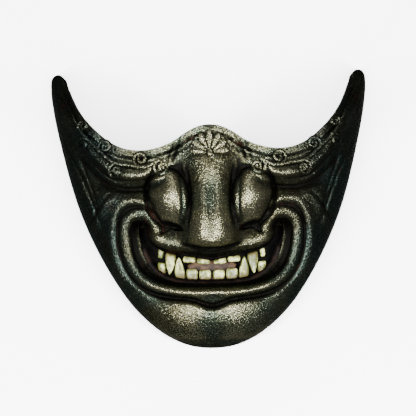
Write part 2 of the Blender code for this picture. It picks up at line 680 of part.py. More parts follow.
def tooth(row, kind, side, shares, shift, material):
    """One tooth: a rounded crown, or a curved point for a canine, standing on its gum."""
    place, width = np.array(shares[:2]) * MOUTH_WIDTH / 2
    length, thick = shares[2] * MOUTH_OPENING, shares[3] * GUM_THICK
    lip = lower_lip if row == "lower" else upper_lip
    reach = lip(np.array(1.0))[0]
    q = math.asin(min(place / reach, 0.999)) * 2 / math.pi
    root = lip(np.array(q))
    tangent = lip(np.array(min(q + 0.01, 1))) - lip(np.array(q - 0.01))
    tangent /= np.linalg.norm(tangent)
    up = np.array([-tangent[1], tangent[0]]) * (1 if row == "lower" else -1)
    root = root + up * (GUM_SHOWS + ROOT_GAP)
    # the crown leans from the lip's normal toward the face's own up direction
    straight = np.array([0.0, 1.0 if row == "lower" else -1.0])
    up = 0.2 * up + 0.8 * straight
    up /= np.linalg.norm(up)
    across = np.array([up[1], -up[0]]) * (1 if row == "lower" else -1)
    middle = MOUTH_LAND + SEAT_GAP + GUM_THICK / 2
    profile = [
        # share of length, share of width, share of thickness, lean forward as a share of it
        (0.00, 0.84, 0.96, 0.0), (0.18, 0.96, 1.00, 0.0), (0.45, 1.00, 0.96, 0.10),
        (0.75, 0.97, 0.80, 0.20), (0.93, 0.88, 0.60, 0.23), (1.00, 0.70, 0.40, 0.23),
    ]
    if kind == "canine":
        profile = [
            (0.00, 0.88, 0.98, 0.0), (0.14, 0.98, 1.00, 0.08), (0.35, 0.94, 0.98, 0.25),
            (0.58, 0.72, 0.86, 0.45), (0.80, 0.44, 0.62, 0.60), (0.94, 0.20, 0.34, 0.68),
            (1.00, 0.07, 0.12, 0.70),
        ]
    around = np.arange(10) * math.tau / 10
    c, s = np.cos(around), np.sin(around)
    square_c = np.sign(c) * np.abs(c) ** 0.75
    square_s = np.sign(s) * np.abs(s) ** 0.75
    rings = []
    for share, wide, deep, lean in profile:
        a = width / 2 * wide * square_c
        p = root + up * (length * share) + a[:, None] * (tangent * (1 - share) + across * share)
        depth = middle - thick * lean - thick / 2 * deep * square_s
        rings.append(under(p[:, 0] * side, p[:, 1], depth))
    points, faces = loops(rings)
    hand = "left" if side > 0 else "right"
    return solid(f"{row}_{kind}_{hand}", onto_rim(points) + shift, faces, material)


def build():
    for item in list(bpy.data.objects):
        bpy.data.objects.remove(item)
    resin = paint("bronze_black_resin", (0.055, 0.052, 0.040), 0.75, 0.42)
    black = paint("liner_black", (0.010, 0.009, 0.008), 0.0, 0.70)
    flesh = paint("gum_brown", (0.085, 0.028, 0.018), 0.0, 0.45)
    tongue_red = paint("tongue_brown", (0.120, 0.045, 0.028), 0.0, 0.50)
    ivory = paint("tooth_ivory", (0.640, 0.620, 0.400), 0.0, 0.40)

    # the origin is under the middle of the outline
    lying = onto_rim(shell_grids()[0])
    length = lying[..., 1].max() - lying[..., 1].min()
    shift = np.array([0.0, -lying[..., 1].min() - length / 2, 0.0])

    shell = face_shell(shift, resin)
    for side in (1, -1):
        cut(shell, slot_cutter(side, length / 2 - SLOT_FROM_TIP, resin))
    mouth_liner(shift, black)
    gum("lower", shift, flesh)
    gum("upper", shift, flesh)
    tongue(shift, tongue_red)
    for row, kind, *shares in TEETH:
        for side in (1, -1):
            tooth(row, kind, side, shares, shift, ivory)


build()
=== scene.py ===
# %% [markdown]
# # A snarling half mask
#
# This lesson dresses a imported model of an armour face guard: a cast half mask that lies face up on
# its rear rim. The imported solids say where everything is. Here each one gets a finer mesh in the
# same place, and a finish: bronze-black paint rubbed bright on the ridges, ivory teeth, dull gums.
# The broad forms are the solids' own. Fine cuts, creases and ornament are added here.

# %% Load the frame
import math

import bpy
import bmesh
import numpy as np
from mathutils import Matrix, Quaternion, Vector


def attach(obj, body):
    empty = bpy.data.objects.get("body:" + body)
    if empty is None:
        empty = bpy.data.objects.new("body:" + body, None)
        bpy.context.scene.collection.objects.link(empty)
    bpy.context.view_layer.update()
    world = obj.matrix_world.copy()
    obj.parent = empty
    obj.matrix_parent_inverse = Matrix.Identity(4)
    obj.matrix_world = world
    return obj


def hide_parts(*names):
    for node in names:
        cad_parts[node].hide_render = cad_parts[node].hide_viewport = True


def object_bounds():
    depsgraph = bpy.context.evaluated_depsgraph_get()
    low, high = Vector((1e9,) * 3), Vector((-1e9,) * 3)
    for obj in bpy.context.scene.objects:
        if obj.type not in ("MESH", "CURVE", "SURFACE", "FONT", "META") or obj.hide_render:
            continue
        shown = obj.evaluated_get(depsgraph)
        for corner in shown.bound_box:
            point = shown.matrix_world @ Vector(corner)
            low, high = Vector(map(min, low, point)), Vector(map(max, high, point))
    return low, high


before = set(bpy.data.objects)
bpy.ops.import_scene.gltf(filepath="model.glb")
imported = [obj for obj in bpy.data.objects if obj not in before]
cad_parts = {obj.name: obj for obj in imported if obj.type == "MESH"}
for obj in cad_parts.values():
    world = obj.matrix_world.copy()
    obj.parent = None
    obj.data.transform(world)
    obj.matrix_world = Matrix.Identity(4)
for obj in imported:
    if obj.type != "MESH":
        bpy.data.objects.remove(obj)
bpy.ops.object.select_all(action="DESELECT")
cad_low, cad_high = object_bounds()
print("solids:", len(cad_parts), "box:", [round(v, 4) for v in (*cad_low, *cad_high)])

# %% [markdown]
# ## The face frame
#
# A mask is easiest to think about from the front: x across, y up the face, z out of it. A
# sculptor in clay works that way too. Every form below is a height z over a place (x, y), and one turn
# by the rim's tilt lays the finished face down on its rim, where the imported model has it.

# %% Sizes of the face
HALF = cad_high.x
FACE_HEIGHT = 0.170
FACE_DEPTH = 0.078
RIM_TILT = math.radians(12.0)
WALL = 0.0035
print("half width", round(HALF, 4))


def lie_down(points):
    """From the face frame to the frame in which the mask lies on its rim."""
    c, s = math.cos(RIM_TILT), math.sin(RIM_TILT)
    p = np.asarray(points, float)
    y, z = p[..., 1], p[..., 2]
    return np.stack([p[..., 0], y * c - z * s, y * s + z * c - FACE_HEIGHT * s], axis=-1)

# %% [markdown]
# ## Outlines
#
# Three curves bound the half face: the rear rim from the chin up to the ear, the top edge from the
# nose bridge over the saddle under the eye, and the round end of the wing. Each is a handful of
# points, in shares of the half width and the height, with a smooth curve through them.

# %% A smooth curve through a few points
PER_SPAN = 40                   # points worked out between two given ones


def smooth_step(low, high, value):
    """0 at low and 1 at high, with soft ends."""
    t = np.clip((value - low) / (high - low), 0, 1)
    return t * t * (3 - 2 * t)


def curve(points, count, mirrored=False):
    """An even row of points on a smooth curve through the given ones."""
    p = np.array(points, float)
    first = p[1] * [-1, 1] if mirrored else 2 * p[0] - p[1]
    p = np.vstack([first, p, 2 * p[-1] - p[-2]])
    knots = np.concatenate([[0], np.cumsum(np.linalg.norm(np.diff(p, axis=0), axis=1) ** 0.5)])
    runs = []
    for i in range(1, len(p) - 2):
        t0, t1, t2, t3 = knots[i - 1:i + 3]
        t = np.linspace(t1, t2, PER_SPAN, endpoint=False)[:, None]
        a1 = (t1 - t) / (t1 - t0) * p[i - 1] + (t - t0) / (t1 - t0) * p[i]
        a2 = (t2 - t) / (t2 - t1) * p[i] + (t - t1) / (t2 - t1) * p[i + 1]
        a3 = (t3 - t) / (t3 - t2) * p[i + 1] + (t - t2) / (t3 - t2) * p[i + 2]
        b1 = (t2 - t) / (t2 - t0) * a1 + (t - t0) / (t2 - t0) * a2
        b2 = (t3 - t) / (t3 - t1) * a2 + (t - t1) / (t3 - t1) * a3
        runs.append((t2 - t) / (t2 - t1) * b1 + (t - t1) / (t2 - t1) * b2)
    return even(np.vstack(runs + [p[-2:-1]]), np.linspace(0, 1, count))

# %% Even points, shares of the face and tables
TABLE_POINTS = 400


def even(path, share):
    """The points at the given shares of a path's length."""
    places = np.concatenate([[0], np.cumsum(np.linalg.norm(np.diff(path, axis=0), axis=1))])
    places /= places[-1]
    return np.stack([np.interp(share, places, path[:, 0]), np.interp(share, places, path[:, 1])], axis=-1)


def on_face(points):
    return np.array(points, float) * [HALF, FACE_HEIGHT]


def read(table, value):
    """A smooth curve through a table's rows, read at a value."""
    line = curve(table, TABLE_POINTS)
    return np.interp(value, line[:, 0], line[:, 1])


print("half way through a small table:", round(float(read([(0, 0), (1, 1), (2, 4)], 1.5)), 3))

# %% The rim, the top edge and the wing's end
EDGE_POINTS = 1200
RIM = curve(on_face([
    (0.000, 0.000), (0.140, 0.010), (0.270, 0.042), (0.385, 0.090), (0.500, 0.158),
    (0.600, 0.240), (0.690, 0.330), (0.765, 0.420), (0.830, 0.515), (0.885, 0.620),
    (0.935, 0.735), (0.975, 0.840), (0.997, 0.925), (1.000, 0.962)]), EDGE_POINTS, mirrored=True)
TOP = curve(on_face([
    (0.000, 0.790), (0.075, 0.784), (0.150, 0.762), (0.225, 0.735), (0.310, 0.716),
    (0.420, 0.707), (0.530, 0.716), (0.620, 0.742), (0.700, 0.783), (0.765, 0.826),
    (0.815, 0.868), (0.857, 0.916), (0.890, 0.962)]), EDGE_POINTS, mirrored=True)
TIP = curve(on_face([
    (1.000, 0.962), (0.993, 0.983), (0.972, 0.997), (0.942, 1.000), (0.910, 0.988), (0.890, 0.962)]), 200)
print("wing tip up the face:", round(TIP[:, 1].max(), 4))

# %% [markdown]
# ## The bowl
#
# Without its features the face is an egg-shaped bowl standing square on the rim. Its depth on the
# centre line is a short table, and a rounded power curve takes it down to the rim at the sides.

# %% The smooth face
CHIN_ROUND = 0.034              # height over which the chin rolls back to the rim
CHIN_POWER = 2.3                # the higher, the squarer that roll
SIDE_POWER = 2.25               # 2 is a round section, more is squarer at the cheeks
DEPTHS = [
    # share of height, share of FACE_DEPTH
    (0.00, 0.50), (0.12, 0.53), (0.22, 0.57), (0.30, 0.61), (0.42, 0.69), (0.55, 0.79),
    (0.70, 0.90), (0.79, 0.95), (0.85, 0.90), (0.90, 0.76), (0.95, 0.56), (1.00, 0.40)]


def rim_height(y):
    return (FACE_HEIGHT - y) * math.tan(RIM_TILT)


def half_width(y):
    return np.maximum(np.interp(y, RIM[:, 1], RIM[:, 0]), 1e-6)


def smooth_face(x, y):
    out = np.clip(np.abs(x) / half_width(y), 0, 1)
    chin = np.clip(y / CHIN_ROUND, 0, 1)
    depth = FACE_DEPTH * read(DEPTHS, y / FACE_HEIGHT) * (1 - (1 - chin) ** CHIN_POWER) ** 0.5
    return rim_height(y) + depth * (1 - out ** SIDE_POWER) ** 0.5


bridge_y = 0.76 * FACE_HEIGHT
print("depth at the bridge:", round(float(smooth_face(np.array(0.0), np.array(bridge_y))), 4))

# %% [markdown]
# ## The mouth's edge
#
# The lips meet in a round corner that hooks up into the cheek, which is what makes the mouth snarl.
# The edge is stored as one path, because the rolled lips, the groove under them and the gums all
# follow it at fixed distances.

# %% The mouth's edge
MOUTH_HALF = 0.047
MOUTH_FLOOR = 0.0405            # height of the lower lip's edge on the centre line
MOUTH_OPENING = 0.0175
MOUTH_LIFT = 0.031              # how far the corners rise above the floor
LOWER_BOW = 1.8                 # the higher, the flatter the lip is in its middle
UPPER_BOW = 1.7
CORNER_WIDTH = 0.009
CORNER_STRETCH = 1.3            # the corner is this much taller than round
CORNER_END = math.radians(125)  # where the lower lip hands over to the upper
LIP_POINT = 0.0020              # dip of the upper lip on the centre line
LIP_POINT_WIDTH = 0.0090


def lower_lip(q):
    a = q * math.pi / 2
    y = MOUTH_FLOOR + MOUTH_LIFT * (1 - np.cos(a)) ** LOWER_BOW
    return np.stack([MOUTH_HALF * np.sin(a), y], axis=-1)


def upper_lip(q):
    a = q * math.pi / 2
    x = (MOUTH_HALF - CORNER_WIDTH) * np.sin(a)
    rise = (MOUTH_LIFT - MOUTH_OPENING) * (1 - np.cos(a)) ** UPPER_BOW
    point = LIP_POINT * np.exp(-(x / LIP_POINT_WIDTH) ** 2)
    return np.stack([x, MOUTH_FLOOR + MOUTH_OPENING + rise - point], axis=-1)


def round_corner(a):
    r = CORNER_WIDTH / 2
    y = MOUTH_FLOOR + MOUTH_LIFT + CORNER_STRETCH * r * np.sin(a)
    return np.stack([MOUTH_HALF - r + r * np.cos(a), y], axis=-1)

# %% One path round the half mouth
steps = np.linspace(0, 1, 60)
LOWER_EDGE = lower_lip(steps)
CORNER_EDGE = round_corner(np.linspace(0, CORNER_END, 20))
UPPER_EDGE = np.vstack([upper_lip(steps), round_corner(np.linspace(math.pi, CORNER_END, 8))[1:]])
MOUTH_EDGE = np.vstack([even(LOWER_EDGE, np.linspace(0, 1, 50)), CORNER_EDGE[1:-1:2],
                        even(UPPER_EDGE, np.linspace(1, 0, 50))])
print("mouth edge points:", len(MOUTH_EDGE))

# %% [markdown]
# ## Features
#
# A sculptor adds and takes away: a nose with flared wings, a roll of muscle over the cheekbone, the
# snarl folds beside the mouth, the lips. Each is a small function of the distance to a place or to
# a path, so it can be moved and widened by one number.

# %% Distance to a path
def nearest(x, y, path):
    """Distance to a path, positive on its left, and the share of its length where it is nearest."""
    seg = path[1:] - path[:-1]
    length = np.maximum(np.linalg.norm(seg, axis=1), 1e-12)
    start = np.concatenate([[0], np.cumsum(length)[:-1]])
    best = np.full(x.shape, 1e9)
    side = np.ones(x.shape)
    place = np.zeros(x.shape)
    for i, (dx, dy) in enumerate(seg):
        px, py = x - path[i, 0], y - path[i, 1]
        t = np.clip((px * dx + py * dy) / length[i] ** 2, 0, 1)
        d = np.hypot(px - t * dx, py - t * dy)
        closer = d < best
        best = np.where(closer, d, best)
        side = np.where(closer, np.sign(dx * py - dy * px + 1e-15), side)
        place = np.where(closer, start[i] + t * length[i], place)
    return best * side, place / length.sum()


def soft_max(a, b, blend):
    near = np.maximum(blend - np.abs(a - b), 0) / blend
    return np.maximum(a, b) + near * near * blend / 4


middle_at = MOUTH_FLOOR + MOUTH_OPENING / 2
off_edge = nearest(np.array([0.0]), np.array([middle_at]), MOUTH_EDGE)[0]
print("from the mouth's middle to its edge:", round(float(abs(off_edge[0])), 4))

# %% The nose
NOSE_HALF_WIDTH = 0.0185
NOSE_FLANK = 0.94               # width of its section, as a share of the half width
NOSE_SQUARE = 2.6               # 2 is a bell-shaped section, more has steeper flanks
NOSE_RISE = 0.029
NOSE = [
    # share of height, share of rise, share of half width
    (0.364, 0.00, 0.34), (0.373, 0.46, 0.52), (0.392, 0.86, 0.78), (0.425, 1.00, 0.95),
    (0.460, 0.96, 0.98), (0.520, 0.78, 0.92), (0.590, 0.57, 0.84), (0.660, 0.42, 0.84),
    (0.720, 0.30, 0.95), (0.800, 0.22, 1.20)]


def nose(x, y):
    h = y / FACE_HEIGHT
    rise = np.where(h < NOSE[0][0], 0, read([(at, r) for at, r, w in NOSE], h))
    half = NOSE_HALF_WIDTH * read([(at, w) for at, r, w in NOSE], h)
    return NOSE_RISE * np.maximum(rise, 0) * np.exp(-(np.abs(x) / (NOSE_FLANK * half)) ** NOSE_SQUARE)


print("the nose is tallest", max((r, at) for at, r, w in NOSE)[1], "up the face")

# %% Swellings: the nose's wings, the nostrils and the chin
WING_RISE = 0.0205
NOSTRIL_DEPTH = 0.0055
CHIN_RISE = 0.0070
# place, half size (both as shares of the half width and of the height), turn, power
NOSE_WING = ((0.230, 0.538), (0.134, 0.118), -0.36, 0.70)
NOSTRIL = ((0.228, 0.444), (0.074, 0.014), 0.42, 0.8)
CHIN = ((0.0, 0.095), (0.42, 0.150), 0.0, 1.1)


def lump(x, y, at, size, turn, power):
    """A rounded swelling of height 1."""
    c, s = math.cos(turn), math.sin(turn)
    dx, dy = x - at[0] * HALF, y - at[1] * FACE_HEIGHT
    u = (dx * c + dy * s) / (size[0] * HALF)
    v = (dy * c - dx * s) / (size[1] * FACE_HEIGHT)
    return np.clip(1 - u * u - v * v, 0, 1) ** power


print("a nose wing is", round(2 * NOSE_WING[1][0] * HALF, 4), "wide")

# %% [markdown]
# ## Where the ornament runs
#
# Traditional face guards carry cast ornament: here a fan of petals on the bridge and a running vine
# on each cheekbone, whose curls leave the stem to both sides in turn. The paths come first, because
# the face is sunk a little round them.

# %% The fan's petals and boss
FAN_AT = np.array([0.0, 0.693 * FACE_HEIGHT])
PETALS_A_SIDE = 3
PETAL_TURN = math.radians(27)
PETAL_REACH = 0.0138
PETAL_SHORTER = 0.0006          # each petal out from the middle one is this much shorter
BOSS_HALF = 0.0024
PETALS = []
for k in range(-PETALS_A_SIDE, PETALS_A_SIDE + 1):
    reach = PETAL_REACH - PETAL_SHORTER * abs(k)
    out = np.linspace(0.2, 1, 22)[:, None] * reach
    PETALS.append(FAN_AT + out * [math.sin(k * PETAL_TURN), math.cos(k * PETAL_TURN)])
BOSS = FAN_AT + np.column_stack([np.zeros(9), np.linspace(-BOSS_HALF, BOSS_HALF, 9)])
print("petals:", len(PETALS))

# %% The vine's stem and curls
STEM = curve(on_face([(0.30, 0.672), (0.38, 0.650), (0.48, 0.657), (0.58, 0.668), (0.68, 0.718),
                      (0.77, 0.772), (0.85, 0.858), (0.91, 0.925)]), 100)
CURL_ROOTS = [
    # share along the stem, side, radius
    (0.02, -1, 0.0050), (0.16, 1, 0.0048), (0.32, -1, 0.0046), (0.47, 1, 0.0044), (0.60, -1, 0.0038),
    (0.70, 1, 0.0032)]
CURL_TURNS = 1.35
CURL_CLOSES = 0.80              # share of the radius that is lost on the way in
CURL_STAND_OFF = 0.95           # from the stem to the curl's middle, in radii


def curled(share, hand, radius):
    """A curl in the plan that leaves the stem and winds in to its eye."""
    k = int(share * (len(STEM) - 1))
    ahead = STEM[min(k + 1, len(STEM) - 1)] - STEM[max(k - 1, 0)]
    left = np.array([-ahead[1], ahead[0]]) / np.linalg.norm(ahead) * hand
    t = np.linspace(0, 1, 40)
    a = math.atan2(-left[1], -left[0]) + hand * math.tau * CURL_TURNS * t
    r = radius * (1 - CURL_CLOSES * t)
    return STEM[k] + left * radius * CURL_STAND_OFF + np.column_stack([r * np.cos(a), r * np.sin(a)])


CURLS = [curled(*row) for row in CURL_ROOTS]
# the same paths with fewer points, on one half of the face, to sink the face round them
FAN_AXIS = FAN_AT + np.array([[0, -0.003], [0, 0.012]])
ORNAMENT = [STEM[::4], FAN_AXIS] + [curl[::4] for curl in CURLS]
ORNAMENT += [petal[::7] for petal in PETALS[PETALS_A_SIDE:]]
print("curls a side:", len(CURLS))

# %% [markdown]
# ## Folds and cuts
#
# The broad folds are the ones that the solids have too. The fine cuts are this lesson's own: the
# crease round each nostril wing, wrinkles across the bridge's sides, and arcs on the cheek.

# %% Broad folds
FOLD_POWER = 1.8                # 2 is a bell-shaped section, less is sharper on top
FOLD_ENDS = 0.18                # share of a fold's length over which each end fades
FOLD_ROWS = [
    # path, width on its left and on its right as shares of the half width, rise as a share of
    # the depth: cheekbone, under the cheekbone, snarl, cheek
    ([(0.14, 0.700), (0.26, 0.655), (0.40, 0.622), (0.55, 0.627), (0.69, 0.685), (0.81, 0.785),
      (0.925, 0.910)], 0.100, 0.046, 0.104),
    ([(0.21, 0.640), (0.30, 0.598), (0.43, 0.572), (0.58, 0.580), (0.72, 0.637), (0.82, 0.727)],
     0.034, 0.042, -0.050),
    ([(0.25, 0.455), (0.34, 0.500), (0.43, 0.535), (0.520, 0.530), (0.590, 0.475),
      (0.615, 0.395), (0.595, 0.315), (0.540, 0.250), (0.45, 0.200)], 0.062, 0.036, 0.050),
    ([(0.50, 0.575), (0.62, 0.540), (0.705, 0.455), (0.720, 0.360), (0.67, 0.270)], 0.060, 0.036, 0.032)]
FOLDS = [(curve(on_face(path), 60), left * HALF, right * HALF, rise * FACE_DEPTH)
         for path, left, right, rise in FOLD_ROWS]


def fold(x, y, path, left, right, rise, ends=FOLD_ENDS):
    d, place = nearest(x, y, path)
    fade = smooth_step(0, 1, np.minimum(place, 1 - place) / ends)
    return rise * fade * np.exp(-np.abs(d / np.where(d > 0, left, right)) ** FOLD_POWER)


print("folds:", len(FOLDS))

# %% Fine cuts
CUT_ENDS = 0.3
CUT_ROWS = [
    # path, half width, depth
    ([(0.150, 0.680), (0.128, 0.600), (0.118, 0.520), (0.140, 0.440), (0.172, 0.400)], 0.0010, 0.0020),
    ([(0.215, 0.672), (0.300, 0.658), (0.366, 0.610), (0.388, 0.545), (0.362, 0.485), (0.292, 0.446),
      (0.200, 0.424)], 0.0013, 0.0026),
    ([(0.190, 0.640), (0.172, 0.570), (0.170, 0.500), (0.190, 0.445)], 0.0009, 0.0016),
    ([(0.165, 0.745), (0.200, 0.705), (0.225, 0.655)], 0.0009, 0.0012),
    ([(0.200, 0.735), (0.235, 0.700), (0.265, 0.655)], 0.0009, 0.0010),
    ([(0.24, 0.690), (0.36, 0.660), (0.50, 0.655), (0.64, 0.695), (0.76, 0.775), (0.86, 0.870)],
     0.0010, 0.0013),
    ([(0.40, 0.500), (0.47, 0.516), (0.540, 0.490), (0.566, 0.420), (0.552, 0.340), (0.50, 0.275)],
     0.0010, 0.0013),
    ([(0.56, 0.580), (0.66, 0.530), (0.745, 0.440), (0.765, 0.350), (0.73, 0.280)], 0.0010, 0.0014),
    ([(0.930, 0.800), (0.860, 0.700), (0.780, 0.610), (0.710, 0.510), (0.650, 0.400)], 0.0012, 0.0018),
    ([(0.800, 0.690), (0.745, 0.610), (0.700, 0.530), (0.672, 0.460)], 0.0010, 0.0012),
    ([(0.26, 0.640), (0.36, 0.612), (0.48, 0.602), (0.62, 0.622), (0.74, 0.690), (0.84, 0.785)],
     0.0010, 0.0014),
    ([(0.66, 0.290), (0.60, 0.220), (0.52, 0.165)], 0.0010, 0.0011)]
CUTS = [(curve(on_face(path), 40), width, depth) for path, width, depth in CUT_ROWS]
TOP_LINES = [
    # distance from the top edge, depth
    (0.0046, 0.0012), (0.0070, 0.0008)]
TOP_LINE_WIDTH = 0.0008
print("cuts:", len(CUTS), "lines along the top edge:", len(TOP_LINES))

# %% The lips
LIP_ROLL = 0.0056               # how far the lips stand out
LIP_DIP = 0.0060                # how far their edges turn in
LIP_CREST = 0.0046              # from the mouth's edge to the top of the rolled lip
LIP_WIDTH = 0.0038              # half of the roll
LIP_TURN = 0.0022               # how much of the edge turns in
GROOVE_AT = 0.0094              # from the mouth's edge to the groove round the lower lip
GROOVE_WIDTH = 0.0020
GROOVE_DEPTH = 0.0036
LOWER_POINT = 0.0042            # how far the groove drops in the middle
# shares of the mouth's edge, from the lower lip's middle round the corner to the upper lip's middle
LOWER_LIP_ENDS = (0.22, 0.42)
UPPER_LIP_STARTS = (0.56, 0.72)
GROOVE_ENDS = (0.60, 0.74)


def lips(x, y):
    d, place = nearest(x, y, MOUTH_EDGE)
    d = np.abs(d)
    upper = smooth_step(*UPPER_LIP_STARTS, place)
    lower = 1 - smooth_step(*LOWER_LIP_ENDS, place)
    beside_corner = 1 - upper - lower
    # the upper roll is broad, the lower one hangs in a point, and both flatten round the corner
    crest = LIP_CREST * (1 + 0.2 * upper - 0.1 * lower)
    width = LIP_WIDTH * (1 + 0.6 * upper + 0.5 * beside_corner - 0.1 * lower)
    rise = LIP_ROLL * (1 - 0.2 * lower - 0.70 * beside_corner)
    roll = rise * np.exp(-np.abs((d - crest) / width) ** 2.2)
    turned_in = -LIP_DIP * np.exp(-(d / LIP_TURN) ** 1.5)
    point = LOWER_POINT * np.exp(-(x / LIP_POINT_WIDTH) ** 2)
    beside = GROOVE_AT * (1 - 0.08 * lower) + point * lower
    depth = GROOVE_DEPTH * (1 - smooth_step(*GROOVE_ENDS, place)) * (1 - 0.6 * beside_corner)
    groove = GROOVE_WIDTH * (1 - 0.4 * beside_corner)
    return roll + turned_in - depth * np.exp(-((d - beside) / groove) ** 2)


print("the lip's edge lies", LIP_DIP, "deep and its roll stands", LIP_ROLL, "out")

# %% All features together
CHIN_CLEFT = 0.0028
CLEFT_WIDTH = 0.0085
BLEND = 0.0030                  # radius where one feature meets another
TOP_BEAD_RISE = 0.00156
TOP_BEAD_WIDTH = 0.00217
NOSE_DENT = 0.0017
NOSE_DENT_WIDTH = 0.0034
DENT_STARTS = (0.375, 0.42)     # shares of the height between which the dent fades in and out
DENT_STOPS = (0.56, 0.64)
SINK_DEPTH = 0.0006             # of the face round the ornament
SINK_WIDTH = 0.0034
SIDE_FADE = 0.10                # share of the half width over which features run out at the rim
CHIN_FADE = 0.008               # the same in height at the chin


def features(x, y, fine=True):
    ax = np.abs(x)
    nostril = NOSTRIL_DEPTH * lump(ax, y, *NOSTRIL)
    raised = soft_max(nose(x, y), WING_RISE * lump(ax, y, *NOSE_WING), BLEND) - nostril
    cleft = CHIN_CLEFT / CHIN_RISE * np.exp(-(x / CLEFT_WIDTH) ** 2)
    raised = raised + CHIN_RISE * lump(x, y, *CHIN) * (1 - cleft)
    folds = sum(fold(ax, y, *row) for row in FOLDS)
    to_top = np.abs(nearest(ax, y, TOP[::20])[0])
    folds = folds + TOP_BEAD_RISE * np.exp(-(to_top / TOP_BEAD_WIDTH) ** FOLD_POWER)
    raised = soft_max(raised, folds, BLEND) + np.minimum(folds, 0) + lips(ax, y)
    if fine:
        raised = raised - sum(fold(ax, y, path, w, w, depth, CUT_ENDS) for path, w, depth in CUTS)
        from_top = np.abs(nearest(ax, y, TOP[::12])[0])
        for at, depth in TOP_LINES:
            raised = raised - depth * np.exp(-((from_top - at) / TOP_LINE_WIDTH) ** 2)
        h = y / FACE_HEIGHT
        along_nose = smooth_step(*DENT_STARTS, h) - smooth_step(*DENT_STOPS, h)
        raised = raised - NOSE_DENT * along_nose * np.exp(-(x / NOSE_DENT_WIDTH) ** 2)
        near_ornament = np.min([np.abs(nearest(ax, y, path)[0]) for path in ORNAMENT], axis=0)
        raised = raised - SINK_DEPTH * np.exp(-(near_ornament / SINK_WIDTH) ** 4)
    near_rim = smooth_step(0, SIDE_FADE, 1 - np.clip(ax / half_width(y), 0, 1))
    return raised * near_rim * np.clip(y / CHIN_FADE, 0, 1)


tip_y = NOSE[3][0] * FACE_HEIGHT
print("nose tip stands out", round(float(features(np.array([0.0]), np.array([tip_y]))[0]), 4))

# %% [markdown]
# ## The mesh's plan
#
# A good mesh runs with the form. Here its columns fan out from the chin to the wing's end and its
# rows go from the rim to the mouth, along the mouth, and on to the top edge, so that edges follow
# the lips and the mouth can be opened by leaving some faces out.
#
# It could be pushed into shape from a cube or a sphere, or sculpted. But edit mode's extrudes and
# bevels give hard, even forms, and brushes need a hand on the mouse. The face is some thirty forms
# that melt into each other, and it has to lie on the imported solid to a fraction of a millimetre. So
# the grid's points are worked out from the same sizes, and operators are kept for the slots, the
# small pieces and the floor.

# %% Lay out the rows and columns
CORNER_COLUMNS = 76
WING_COLUMNS = 92
CHIN_ROWS = 56
MOUTH_ROWS = 16
BROW_ROWS = 108
COARSE = 4                      # the inside has one row and column for each of this many outside
WING_SPREAD = 1.35              # above 1, columns grow wider towards the wing's end
BROW_SPREAD = 1.2               # and rows towards the top edge
CHIN_EASE = 0.3                 # 0 spaces the chin's rows evenly, more packs them at both ends
LOW_LINE = 0.36                 # where the lips' lines run out on the wing's end, as shares from
HIGH_LINE = 0.56                # the rim to the top edge
RELAX_TIMES = 500
EASED_WING = 52                 # columns past the mouth's corner that the easing reaches
EASED_FADE = 34                 # and over how many of them it fades


def face_plan():
    to_corner = np.linspace(0, 0.5, CORNER_COLUMNS + 1)
    to_tip = 0.5 + 0.5 * (np.arange(1, WING_COLUMNS + 1) / WING_COLUMNS) ** WING_SPREAD
    s = np.concatenate([to_corner, to_tip])
    rim, top = even(RIM, s), even(TOP, s)
    q = np.clip(s / 0.5, 0, 1)
    low, high = even(LOWER_EDGE, q), even(UPPER_EDGE, q)
    c = CORNER_COLUMNS
    away = (1 - np.clip((s - 0.5) / 0.5, 0, 1))[:, None] ** 2
    low_line = rim + (top - rim) * LOW_LINE
    high_line = rim + (top - rim) * HIGH_LINE
    past = (s > 0.5)[:, None]
    low = np.where(past, low_line + (low[c] - low_line[c]) * away, low)
    high = np.where(past, high_line + (high[c] - high_line[c]) * away, high)
    i = np.arange(CHIN_ROWS) / CHIN_ROWS
    chin = CHIN_EASE * (1 - np.cos(math.pi * i)) + (1 - 2 * CHIN_EASE) * i
    mouth = np.arange(MOUTH_ROWS) / MOUTH_ROWS
    brow = (np.arange(BROW_ROWS + 1) / BROW_ROWS) ** BROW_SPREAD
    rows = [rim + (low - rim) * t for t in chin]
    rows += [low + (high - low) * t for t in mouth]
    rows += [high + (top - high) * t for t in brow]
    plan = np.array(rows)
    cut = slice(CHIN_ROWS, CHIN_ROWS + MOUTH_ROWS)
    plan[cut, c:] += (even(CORNER_EDGE, mouth) - plan[cut, c])[:, None] * away[c:] ** 2
    plan[:, -1] = even(TIP, np.linspace(0, 1, len(plan)))
    return plan

# %% Ease the kinks out of the plan
def relaxed(plan, times):
    """The plan with its kinks eased out: its borders, the wings and the mouth's edge stay."""
    by_rim = np.clip((np.arange(len(plan)) - COARSE) / (4 * COARSE), 0, 1)
    last = CORNER_COLUMNS + EASED_WING
    by_wing = smooth_step(last, last - EASED_FADE, np.arange(plan.shape[1]))
    free = by_rim[:, None] * by_wing
    free[-1] = 0
    free[CHIN_ROWS:CHIN_ROWS + MOUTH_ROWS + 1, :CORNER_COLUMNS + 1] = 0
    for _ in range(times):
        beside = np.concatenate([plan[:, 1:2] * [-1, 1], plan, plan[:, -1:]], axis=1)
        above = np.concatenate([plan[:1], plan, plan[-1:]])
        middle = (beside[:, :-2] + beside[:, 2:] + above[:-2] + above[2:]) / 4
        plan = plan + free[..., None] * (middle - plan)
    return plan


plan = relaxed(face_plan(), RELAX_TIMES)
print("plan:", plan.shape)

# %% [markdown]
# ## Outside and inside
#
# The outside is the plan lifted to the face. The inside of a casting is duller: it follows the
# smooth bowl a wall's thickness behind, dips under the nose, and has a flat seat round the mouth. So
# it needs only every fourth node.

# %% Lift the plan to the face
def both_sides(half):
    """The whole of a field or a grid of points whose right half is given."""
    other = half[:, :0:-1]
    return np.concatenate([other if half.ndim == 2 else other * [-1, 1, 1], half], axis=1)


